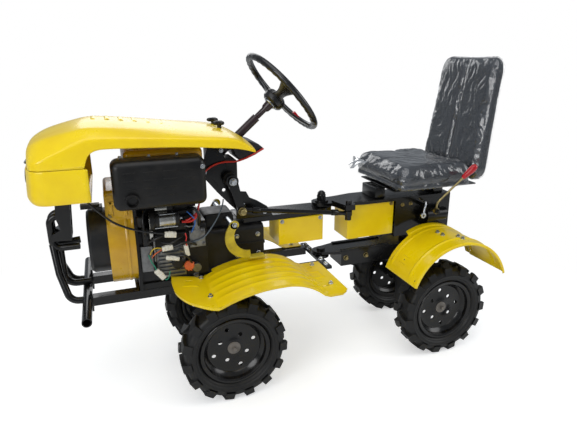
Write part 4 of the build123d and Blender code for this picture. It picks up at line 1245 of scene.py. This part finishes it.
@dataclass
class SteeringWheel:
    """A padded rim on three broad spokes, its hub and the painted stem."""

    centre: tuple = (-289.0, 0.0, 1190.0)
    tilt: float = 41.0
    ring: float = 182.0
    grip: float = 14.0
    spokes: tuple = (180.0, 75.0, 285.0)

    def place(self, x: float, y: float, z: float) -> Vector:
        """Returns a point from the wheel's own frame, whose z runs up the column."""
        t = math.radians(self.tilt)
        up, ahead = Vector((-math.cos(t), 0, math.sin(t))), Vector((math.sin(t), 0, math.cos(t)))
        return Vector(self.centre) + ahead * x + Vector((0, y, 0)) + up * z

    def build(self) -> None:
        """Builds the wheel."""
        axis = self.place(0, 0, 1) - Vector(self.centre)
        shape = Shape()

        def rim(u: float, v: float) -> Point:
            """Returns a point of the padded rim, with shallow finger grips below."""
            a, b = 2 * math.pi * u, 2 * math.pi * v
            r = self.grip + 0.9 * math.sin(36 * a) * max(0.0, -math.sin(b))
            far = self.ring + r * math.cos(b)
            return self.place(far * math.cos(a), far * math.sin(a), 0.9 * r * math.sin(b))

        shape.grid(rim, 180, 16, around=True)
        for turn in self.spokes:
            t = math.radians(turn)

            def spoke(u: float, v: float, t: float = t) -> Point:
                """Returns a point of one spoke, wide at the hub and the rim."""
                r = 22 + 156 * u
                b = 2 * math.pi * v
                wide = 32 - 15 * math.sin(math.pi * min(1.0, u * 1.05)) + 4 * u
                s = wide * math.copysign(abs(math.cos(b)) ** 0.5, math.cos(b))
                high = -36 + 34 * u ** 1.6 + 5.5 * math.copysign(abs(math.sin(b)) ** 0.7, math.sin(b))
                return self.place(r * math.cos(t) - s * math.sin(t), r * math.sin(t) + s * math.cos(t), high)

            shape.grid(spoke, 16, 20, around=True)
        shape.lathe([(0, -14), (18, -14.5), (34, -18), (44, -26), (47, -38), (44, -56), (36, -64), (0, -64)],
                    self.centre, axis, 48)
        shape.lathe([(0, -12), (14, -12.2), (17, -14), (17, -16), (0, -16)], self.centre, axis, 32)
        bmesh.ops.remove_doubles(shape.bm, verts=shape.bm.verts, dist=0.01)
        made = shape.piece("padded_steering_wheel", WHEEL_PVC, Body.STEERING)
        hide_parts("steering_wheel")
        stem = Shape()
        stem.lathe([(0, -250), (10, -250), (10, -140), (11.5, -138), (11.5, -100), (17, -92), (20, -66), (0, -66)],
                   self.centre, axis, 28)
        stem.piece("steering_stem", OXIDE_PRIMER, Body.STEERING)
        ring = Shape()
        ring.lathe([(0, -70), (25, -70), (27, -68), (27, -65), (0, -64)], self.centre, axis, 32)
        ring.piece("hub_ring", ZINC_PLATE, Body.STEERING)
        mark = Shape()
        corners = [self.place(x, y, 0) for x, y in ((-92, -9), (-92, 9), (-124, 5), (-124, -5))]
        mark.prism(corners, axis * -20, axis * -9, 1.2)
        mark.piece("red_spoke_insert", RED_KNOB, Body.STEERING)


@dataclass
class Engine:
    """Dresses the engine: cowl, muffler, starter, wiring and small fittings."""

    side: float = 118.0  # left face of the crankcase

    def build(self) -> None:
        """Builds the engine's pieces."""
        self.cowl()
        self.muffler()
        self.starter()
        self.wiring()
        self.fittings()

    def cowl(self) -> None:
        """Builds the pressed fan cowl with its belt and the panel round its side."""
        outline = []
        for n in range(49):
            a = math.radians(40.4 - 260.8 * n / 48)
            outline.append((0, 168 * math.cos(a), 662 + 168 * math.sin(a)))
        for side in (-1, 1):
            corner = [(side * (108 + 20 * math.cos(a)), 858 + 20 * math.sin(a)) for a in (0, 0.4, 0.8, 1.2, math.pi / 2)]
            outline += [(0, y, z) for y, z in (corner if side < 0 else corner[::-1])]
        shape = Shape()
        shape.prism(outline, (327, 0, 0), (419, 0, 0), 14, 5)
        shape.lathe([(160, 0), (171, 0), (171, 5), (169, 9), (160, 9)], (350, 0, 662), (1, 0, 0), 64)
        for side in (1, -1):
            shape.slab((373, side * 128, 836), (62, 9, 12), 3, 3)
            shape.slab((350, side * 128, 814), (12, 9, 56), 3, 3)
            shape.slab((398, side * 128, 814), (12, 9, 56), 3, 3)
        # The cowl's darker yellow is painted shade.
        made = shape.piece("pressed_fan_cowl", SHADED_COWL_ENAMEL, Body.FRONT)
        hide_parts("fan_housing")
        screws = Shape()
        for x, z in ((346, 858), (404, 790)):
            screws.bolt((x, 129, z), (0, 1, 0), 10, 8)
        screws.piece("cowl_screws", YELLOW_ZINC, Body.FRONT)

    def muffler(self) -> None:
        """Builds the muffler box with its slits, outlet and top bolts."""
        shape = Shape()
        shape.slab((229.5, 188, 915), (315, 112, 170), 26, 6)
        shape.lathe([(21, -8), (21, 13), (24, 16), (24, 18), (19, 18), (17.5, 14), (17.5, -4), (0, -4)],
                    (327, 244, 868), (0, 1, 0), 32)
        for row in range(4):
            for column in range(4):
                shape.slab((330 - 66 * column, 244.2, 962 - 27 * row), (42, 3.2, 3.4), 1.2, 2)
        shape.slab((200, 116, 862), (100, 36, 40), 3, 2)
        made = shape.piece("pressed_muffler", HEAT_PAINT, Body.FRONT)
        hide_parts("muffler")
        screws = Shape()
        for x in (352, 256, 160):
            screws.bolt((x, 162, 999), (0, 0, 1), 10, 9)
        screws.bolt((86, 246, 968), (0, 1, 0), 9, 8)
        screws.piece("muffler_bolts", ZINC_PLATE, Body.FRONT)

    def starter(self) -> None:
        """Adds the starter's end caps, ribs and terminal."""
        caps = Shape()
        caps.lathe([(0, 0), (26, 0), (29.5, 3), (29.5, 14), (28.4, 15)], (168, 152, 762), (1, 0, 0), 36)
        caps.lathe([(28.4, 0), (30, 1), (30, 16), (36, 18), (37, 22), (37, 34), (33, 36), (0, 36)], (240, 152, 762), (1, 0, 0), 36)
        caps.lathe([(0, 0), (15, 0), (18.5, 3), (18.5, 20), (17, 22)], (186, 130, 800), (1, 0, 0), 28)
        caps.piece("starter_end_caps", STOVE_PAINT, Body.FRONT)
        bands = Shape()
        for x in (187, 236):
            bands.lathe([(28, 0), (29, 0.4), (29, 3), (28, 3.4)], (x, 152, 762), (1, 0, 0), 36)
        for z, y in ((740, 176), (786, 166)):
            bands.tube([(176, y, z), (262, y, z)], 2.2, 10)
        bands.bolt((164, 152, 762), (-1, 0, 0), 10, 7)
        bands.piece("starter_through_bolts", ZINC_PLATE, Body.FRONT)

    def wiring(self) -> None:
        """Hangs the connectors and leads along the engine's side."""
        blocks = Shape()
        for spot, size, lean in (
            ((204, 168, 708), (42, 15, 20), -8), ((218, 162, 655), (40, 14, 18), 6), ((148, 160, 636), (16, 14, 44), 8),
            ((202, 162, 612), (50, 13, 14), -14), ((252, 160, 553), (46, 14, 20), -52),
        ):
            turn = Matrix.Rotation(math.radians(lean), 3, "Y")
            blocks.slab(spot, size, 2.2, 3, turn)
            for k in (-1, 0, 1):
                blocks.slab(Vector(spot) + turn @ Vector((k * size[0] * 0.28, size[1] / 2, 0)), (size[0] * 0.16, 3, size[2] * 0.7),
                            1, 2, turn)
            blocks.slab(Vector(spot) + turn @ Vector((0, 0, size[2] * 0.5)), (size[0] * 0.4, 7, 4), 1.2, 2, turn)
        blocks.piece("wiring_connectors", NATURAL_NYLON, Body.FRONT)
        y = 160
        for name, route, radius, finish in (
            ("battery_lead", [(93, 150, 800), (100, 162, 776), (112, 168, 756), (134, 170, 748), (160, 166, 752)], 4.2, RED_PVC),
            ("signal_lead_red", [(150, 166, 706), (146, 172, 690), (152, 172, 676), (147, 165, 656)], 2.2, RED_PVC),
            ("signal_lead_blue", [(138, 158, 786), (122, 168, 772), (110, 170, 752), (116, 168, 728), (126, 160, 704)], 2.2, BLUE_PVC),
            ("signal_lead_green", [(286, 140, 628), (280, 156, 604), (268, 158, 588), (264, 160, 570)], 2.2, GREEN_PVC),
            ("signal_lead_green_low", [(240, 160, 536), (232, 162, 526), (220, 156, 534), (214, 148, 556)], 2.2, GREEN_PVC),
            ("signal_lead_yellow", [(240, y, 655), (258, 166, 664), (276, 162, 652), (280, 148, 632)], 2.2, YELLOW_PVC),
            ("signal_lead_orange", [(238, y, 650), (254, 170, 646), (268, 164, 636), (274, 146, 618)], 2.2, ORANGE_CAP),
            ("loom_upper", [(226, y, 708), (248, 166, 700), (268, 160, 690), (290, 140, 676)], 5, BLACK_PVC),
            ("loom_middle", [(198, y, 655), (176, 170, 664), (156, 172, 674), (132, 168, 668), (110, 152, 650)], 4.5, BLACK_PVC),
            ("loom_lower", [(178, y, 616), (160, 168, 622), (146, 166, 612), (136, 158, 590), (128, 146, 572)], 4, BLACK_PVC),
            ("loom_cross", [(160, 150, 690), (176, 172, 690), (196, 176, 680), (214, 170, 672), (236, 150, 676)], 3.5, BLACK_PVC),
            ("breather_hose", [(128, 130, 792), (116, 158, 800), (100, 168, 786), (92, 164, 756), (96, 140, 720)], 5.5, BLACK_PVC),
            ("fuel_hose", [(286, 132, 800), (296, 152, 776), (296, 160, 740), (288, 150, 706), (282, 128, 690)], 5, BLACK_PVC),
        ):
            lead(name, route, radius, finish, Body.FRONT)

    def fittings(self) -> None:
        """Adds caps, plugs, pipes and screws on the crankcase's side."""
        cap = Shape()
        cap.lathe([(0, 0), (13, 0), (13, 8), (18, 10), (19, 14), (19, 20), (16, 24), (0, 25)], (139, 130, 566), (0.1, 1, 0.1), 28)
        for n in range(10):
            a = 2 * math.pi * n / 10
            cap.slab((139 + 18.6 * math.cos(a), 147, 566 + 18.6 * math.sin(a)), (4, 9, 4), 1, 2)
        cap.piece("oil_filler_cap", ORANGE_CAP, Body.FRONT)
        metal = Shape()
        for x, z in ((168, 548), (240, 548), (168, 628), (240, 628), (80, 650), (126, 650), (80, 698), (126, 698), (296, 570), (296, 650)):
            metal.bolt((x, 127 if x > 140 else 148, z), (0, 1, 0), 9, 7)
        metal.bolt((112, 118, 512), (0, 1, 0), 14, 11)
        metal.tube([(258, 120, 700), (262, 136, 690), (262, 138, 600), (258, 120, 590)], 4, 12)
        metal.tube([(110, 128, 716), (120, 150, 724), (136, 152, 726), (150, 140, 728)], 3.5, 12)
        metal.lathe([(0, 0), (20, 0), (20, 6), (14, 8), (14, 24), (9, 26), (0, 26)], (103, 133, 760), (0, 0, 1), 28)
        metal.piece("crankcase_fittings", CAST_ALUMINIUM, Body.FRONT)
        dark = Shape()
        dark.lathe([(0, 0), (22, 0), (22, 26), (18, 30), (0, 30)], (182, 122, 582), (0, 1, 0), 32)
        dark.slab((200, 130, 694), (120, 22, 16), 4, 3)
        dark.slab((290, 134, 700), (26, 28, 70), 5, 3)
        dark.slab((170, 132, 728), (60, 26, 30), 5, 3)
        dark.lathe([(0, 0), (17, 0), (19, 4), (19, 34), (15, 38), (0, 38)], (300, 136, 742), (0, 0, 1), 28)
        dark.piece("crankcase_housings", STOVE_PAINT, Body.FRONT)


@dataclass
class Controls:
    """Treadles, lift lever, dash, steering support and the linkage's nuts."""

    def build(self) -> None:
        """Builds the controls."""
        self.treadles()
        self.lever()
        self.dash()
        self.support()
        self.leads()
        self.frames()
        self.nuts()

    def treadles(self) -> None:
        """Builds the two bent treadle plates on their plated shafts."""
        plates, shafts = Shape(), Shape()
        for side in (1, -1):
            rings = []
            for n in range(33):
                a = math.radians(46 - 142 * n / 32)
                wide = 17 - 2 * math.cos(2 * math.pi * n / 32)
                ring = []
                for r, y in ((73 - wide, 0), (73 + wide, 0), (73 + wide, 7), (73 - wide, 7)):
                    ring.append(plates.bm.verts.new((-90 + r * math.cos(a), side * (158 + y), 662 + r * math.sin(a))))
                rings.append(ring)
            for low, high in zip(rings, rings[1:]):
                for k in range(4):
                    m = (k + 1) % 4
                    plates.bm.faces.new((low[k], low[m], high[m], high[k]))
            plates.bm.faces.new(rings[0])
            plates.bm.faces.new(rings[-1][::-1])
            plates.lathe([(0, 0), (17, 0), (17, 7), (0, 7)], (-38, side * 158, 714), (0, side, 0), 28)
            plates.slab((-122, side * 164, 577), (66, 38, 6), 2.4, 3)
            shafts.lathe([(0, 64), (11, 64), (11, 150), (14, 151), (14, 157), (0, 157)], (-30, 0, 712), (0, side, 0), 24)
            shafts.bolt((-38, side * 165, 714), (0, side, 0), 13, 10)
        # The treadles' olive yellow is painted shade over the yellow enamel.
        made = plates.piece("bent_treadles", TREADLE_ENAMEL, Body.FRONT)
        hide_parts("pedals")
        shafts.piece("treadle_shafts", ZINC_PLATE, Body.FRONT)

    def lever(self) -> None:
        """Builds the lift lever with its long red knob, and the shaft it turns on."""
        rod = Shape()
        rod.tube([(-915, 214, 688), (-915, 214, 716), (-918, 215.5, 728), (-926, 219, 740), (-1024, 262, 860)], 4.6, 14)
        rod.lathe([(0, 0), (13, 0), (13, 14), (0, 14)], (-915, 207, 690), (0, 1, 0), 24)
        made = rod.piece("lift_lever_rod", YELLOW_ZINC, Body.REAR)
        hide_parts("lift_lever")
        knob = Shape()
        knob.lathe([(0, -18), (7, -18), (9, -14), (12, 6), (14.5, 28), (14, 44), (10.5, 54), (5, 58), (0, 59)],
                   (-1015, 258, 849), (-109, 48, 132), 32)
        knob.piece("lift_lever_knob", RED_KNOB, Body.REAR)
        shaft = Shape()
        shaft.tube([(-915, 76, 690), (-915, 224, 690)], 8, 20)
        shaft.bolt((-915, 224, 690), (0, 1, 0), 12, 11)
        shaft.piece("lift_lever_shaft", BLACK_ENAMEL, Body.REAR)

    def dash(self) -> None:
        """Builds the moulded dash as one rounded wing."""
        shape = Shape()
        outline = [(-186, 985), (-150, 966), (-110, 950), (-87, 944), (-70, 970), (-54, 1000), (-52, 1024), (-90, 1024), (-130, 1016), (-164, 1004)]
        shape.prism([(x, 0, z) for x, z in outline], (0, -90, 0), (0, 90, 0), 6, 3)
        made = shape.piece("moulded_dash", BLACK_ABS, Body.FRONT)
        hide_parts("dash_panel")

    def support(self) -> None:
        """Builds the steering support: two cut plates, their foot and the sheet between them."""
        outline = [
            (-72, 703), (-72, 742), (-42, 772), (3, 823), (45, 876), (62, 904), (30, 1008), (-22, 1008), (-48, 860),
            (-80, 818), (-114, 814), (-127, 787), (-158, 773), (-200, 745), (-225, 703),
        ]
        shape = Shape()
        for y in (58, -64):
            shape.prism([(x, 0, z) for x, z in outline], (0, y, 0), (0, y + 6, 0), 0.8, 2)
        shape.slab((23, 0, 935), (6, 116, 146), 1, 2)
        shape.slab((-145, 0, 706), (140, 116, 6), 1, 2)
        made = shape.piece("cut_steering_support", BLACK_ENAMEL, Body.FRONT)
        holes = Shape()
        holes.lathe([(0, -80), (27.4, -80), (27.4, 80), (0, 80)], (-46, 0, 875), (0, 1, 0), 32)
        holes.lathe([(0, -80), (7, -80), (7, 80), (0, 80)], (-24, 0, 829), (0, 1, 0), 20)
        holes.slab((16.5, 0, 863), (48, 150, 13), 5.5, 4, Matrix.Rotation(math.radians(-49), 3, "Y"))
        cut(made, holes)
        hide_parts("steering_support")

    def leads(self) -> None:
        """Lays the three held leads along their routes."""
        lead("lamp_cable", [(480, 150, 867), (468, 158, 846), (362, 176, 742), (226, 174, 716)], 4, BLACK_PVC, Body.FRONT, "lamp_lead")
        lead("ignition_lead", [
            (-180, 94.6, 988), (-92, 94.6, 941), (-20, 72, 944), (40, 84, 926), (78, 124, 890), (84, 126, 800),
            (104, 150, 762), (146, 176, 757),
        ], 3.5, RED_PVC, Body.FRONT, "starter_lead")
        lead("throttle_cable", [(-14, 92, 800), (-10, 96, 762), (74, 158, 676), (110, 150.8, 664), (178, 150.8, 650)], 2.5, GREY_PVC,
             Body.FRONT, "control_cables")

    def frames(self) -> None:
        """Builds the seat's pressed base with its brackets, the plated catch and the bell housing."""
        base = Shape()
        base.slab((-952, 0, 775), (424, 300, 6), 2, 2)
        for x in (-725, -1030):
            base.slab((x, 0, 747), (50, 124, 50), 4, 2)
        behind = [(-1106 - 62 - 0.145 * (z - 807) - t, 0, z) for z, t in ((780, 0), (1000, 0), (1000, 6), (780, 6))]
        base.prism(behind, (0, -90, 0), (0, 90, 0), 1, 2)
        made = base.piece("pressed_seat_base", BLACK_ENAMEL, Body.REAR)
        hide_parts("seat_frame")
        catch = Shape()
        catch.tube([(-870, 150, 735), (-870, 196, 728), (-867, 203, 718), (-858, 206, 686)], 4.5, 12)
        catch.lathe([(5, -4), (12, -4), (13, 0), (12, 4), (5, 4), (5, -4)], (-856, 206, 674), (0, 1, 0), 24)
        catch.piece("seat_catch", ZINC_PLATE, Body.REAR)
        bell = Shape()
        bell.slab((1, 0, 690), (122, 128, 88), 14, 4)
        bell.piece("bell_housing", STOVE_PAINT, Body.FRONT)

    def nuts(self) -> None:
        """Adds the linkage's nuts, the pivot's dome nut and bolts on plates and covers."""
        arm = Shape()
        arm.bolt((-80, 130, 753), (0, 1, 0), 24, 17)
        arm.piece("drop_arm_nut", YELLOW_ZINC, Body.ARM)
        sector = Shape()
        sector.bolt((-46, 134, 875), (0, 1, 0), 22, 15)
        sector.piece("sector_nut", ZINC_PLATE, Body.FRONT)
        grease = Shape()
        grease.lathe([(9.2, 0), (13, 0), (13, 26), (11, 30), (9.2, 30)], (-128, 100.6, 746), (-1, 0.02, -0.13), 24)
        grease.lathe([(9.2, 0), (13, 0), (13, 26), (11, 30), (9.2, 30)], (-470, 108, 701), (-1, 0.02, -0.13), 24)
        grease.piece("link_lock_nuts", BLACK_ENAMEL, Body.LINK)
        dome = Shape()
        dome.lathe([(0, 0), (30, 0), (30, 6), (19, 7), (19, 24), (17, 32), (11, 39), (0, 41)], (-469, 0, 722), (0, 0, 1), 32)
        dome.lathe([(0, 0), (20, 0), (20, 4), (13, 5), (13, 16), (8, 19), (0, 20)], (-546, 110, 708), (0, 0, 1), 28)
        dome.piece("pivot_dome_nuts", BLACK_ENAMEL, Body.REAR)
        front, rear = Shape(), Shape()
        for x, z in ((-264, 670), (-436, 670)):
            front.bolt((x, 66, z), (0, 1, 0), 11, 9)
            front.bolt((x, -66, z), (0, -1, 0), 11, 9)
        for x, y in ((-442, 120), (-442, -120), (-442, 66), (-442, -66)):
            front.bolt((x, y, 476), (0, 0, 1), 14, 12)
        for x, z in ((-62, 640), (-62, 560), (-150, 640), (-150, 560)):
            front.bolt((x, 96 if z < 600 else 92, z), (0, 1, 0), 13, 10)
        for x, y, z in ((-20, 64, 985), (48, 64, 905), (-190, 64, 722), (-100, 64, 760)):
            front.bolt((x, y, z), (0, 1, 0), 11, 9)
        front.piece("front_plate_bolts", ZINC_PLATE, Body.FRONT)
        for x, z in ((-582, 697), (-782, 697)):
            rear.bolt((x, 66, z), (0, 1, 0), 11, 9)
            rear.bolt((x, -66, z), (0, -1, 0), 11, 9)
        for x, z in ((-568, 462), (-668, 462)):
            rear.bolt((x, 60, z), (0, 1, 0), 15, 12)
            rear.bolt((x, -60, z), (0, -1, 0), 15, 12)
        for x, z in ((-834, 688), (-876, 690)):
            rear.bolt((x, 76, z), (0, 1, 0), 11, 9)
            rear.bolt((x, -76, z), (0, -1, 0), 11, 9)
        rear.piece("rear_plate_bolts", YELLOW_ZINC, Body.REAR)


def camera() -> None:
    """Sets the camera where the photograph was taken from."""
    lens = bpy.data.cameras.new("photo_camera")
    lens.sensor_width = 36.0
    lens.lens = 36.0 * 503.348 / 577
    lens.clip_end = 60
    eye = bpy.data.objects.new("photo_camera", lens)
    right = Vector((-0.94004980, 0.34102052, -0.0033732))
    up = -Vector((0.10785417, 0.28789606, -0.95156888))
    back = -Vector((-0.32353338, -0.89488595, -0.30741712))
    turn = Matrix((right, up, back)).transposed().to_4x4()
    eye.matrix_world = Matrix.Translation((Vector((386.657, 1943.578, 1335.207)) + OFFSET) / 1000) @ turn
    bpy.context.scene.collection.objects.link(eye)
    bpy.context.scene.camera = eye


@dataclass
class Studio:
    """A pale floor under soft daylight, white to the camera behind."""

    floor: str = "f5f5f4"
    lamps: tuple = (
        # name, place in metres, aimed at, size, watts
        ("overhead_softbox", (0.6, 0.9, 3.6), (0, 0, 0.6), 3.2, 40),
        ("front_softbox", (3.0, 2.6, 2.2), (0.2, 0, 0.6), 2.2, 58),
        ("rear_softbox", (-3.2, 1.4, 2.0), (-0.3, 0, 0.6), 2.2, 40),
        ("far_softbox", (0.0, -3.2, 2.4), (0, 0, 0.6), 2.6, 30),
    )

    def build(self) -> None:
        """Builds the floor, the lamps and the world."""
        shape = Shape()
        shape.grid(lambda u, v: (-9000 + 18000 * u, -9000 + 18000 * v, 14.0 - 0.4), 8, 8)
        shape.bm.transform(Matrix.Translation(-OFFSET * 1.0))
        mesh = bpy.data.meshes.new("studio_floor")
        for v in shape.bm.verts:
            v.co = (v.co + OFFSET + Vector((0, 0, -14.0))) / 1000
        shape.bm.to_mesh(mesh)
        shape.bm.free()
        ground = bpy.data.objects.new("studio_floor", mesh)
        bpy.context.scene.collection.objects.link(ground)
        mesh.materials.append(self.floor_material())
        for name, spot, aim, size, watts in self.lamps:
            lamp = bpy.data.lights.new(name, "AREA")
            lamp.shape = "DISK"
            lamp.size = size
            lamp.energy = watts
            held = bpy.data.objects.new(name, lamp)
            held.location = spot
            held.rotation_euler = (Vector(aim) - Vector(spot)).to_track_quat("-Z", "Y").to_euler()
            bpy.context.scene.collection.objects.link(held)
        world = bpy.data.worlds.new("soft_sky")
        bpy.context.scene.world = world
        world.use_nodes = True
        tree = world.node_tree
        tree.nodes.clear()
        rays = add(tree, "LightPath").outputs
        seen = add(tree, "Math", {0: rays["Is Camera Ray"], 1: rays["Is Transmission Ray"]}, operation="MAXIMUM").outputs[0]
        sky = add(tree, "Background", {"Color": linear("dfe6ee"), "Strength": 0.4}).outputs[0]
        white = add(tree, "Background", {"Color": (1, 1, 1, 1), "Strength": 1.0}).outputs[0]
        mixed = add(tree, "MixShader", {0: seen, 1: sky, 2: white}).outputs[0]
        add(tree, "OutputWorld", {"Surface": mixed})
        bpy.context.scene.view_settings.view_transform = "Standard"

    def floor_material(self) -> bpy.types.Material:
        """Returns the floor's paint: it glows a little to the camera, so that it runs out to white."""
        made = bpy.data.materials.new("matt_white_floor_paint")
        made.use_nodes = True
        tree = made.node_tree
        shader = tree.nodes["Principled BSDF"]
        shader.inputs["Base Color"].default_value = linear(self.floor)
        shader.inputs["Roughness"].default_value = 0.9
        shader.inputs["Specular IOR Level"].default_value = 0.1
        rays = add(tree, "LightPath").outputs
        glow = add(tree, "Emission", {"Color": (1, 1, 1, 1), "Strength": 0.45}).outputs[0]
        near = add(tree, "AddShader", {0: shader.outputs[0], 1: glow}).outputs[0]
        white = add(tree, "Emission", {"Color": (1, 1, 1, 1), "Strength": 1.0}).outputs[0]
        far = add(tree, "VectorMath", {0: add(tree, "TexCoord").outputs["Object"]}, operation="LENGTH").outputs["Value"]
        fade = add(tree, "MapRange", {0: far, 1: 1.0, 2: 2.0}).outputs[0]
        both = add(tree, "MixShader", {0: fade, 1: near, 2: white}).outputs[0]
        seen = add(tree, "MixShader", {0: rays["Is Camera Ray"], 1: shader.outputs[0], 2: both}).outputs[0]
        tree.links.new(seen, tree.nodes["Material Output"].inputs["Surface"])
        return made


def dress_nodes() -> None:
    """Gives every CAD node its finish."""
    finish_of = {name: finish for finish, names in NODE_FINISH.items() for name in names}
    for name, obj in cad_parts.items():
        made = finish_of[name].material()
        obj.data.materials.clear()
        obj.data.materials.append(made)
        LOG.info("%s in %s", name, made.name)


def main() -> None:
    """Builds the tractor's pieces in order."""
    logging.basicConfig(level=logging.INFO, format="%(asctime)s %(name)s: %(message)s")
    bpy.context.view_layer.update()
    camera()
    Studio().build()
    dress_nodes()
    Hood().build()
    Nose().build()
    for side in (1, -1):
        FrontFender(side).build()
        RearFender(side).build()
    for body, tyre, x, side, turn in (
        (Body.WHEEL_FL, "tyre_front_left", 0.0, 1, 27.6), (Body.WHEEL_FR, "tyre_front_right", 0.0, -1, 27.6),
        (Body.WHEEL_RL, "tyre_rear_left", -972.0, 1, 38.6), (Body.WHEEL_RR, "tyre_rear_right", -972.0, -1, 38.6),
    ):
        Wheel(body, tyre, x, side, turn).build()
    SteeringWheel().build()
    Engine().build()
    Controls().build()
    Seat().build()


if __name__ == "__main__":
    main()
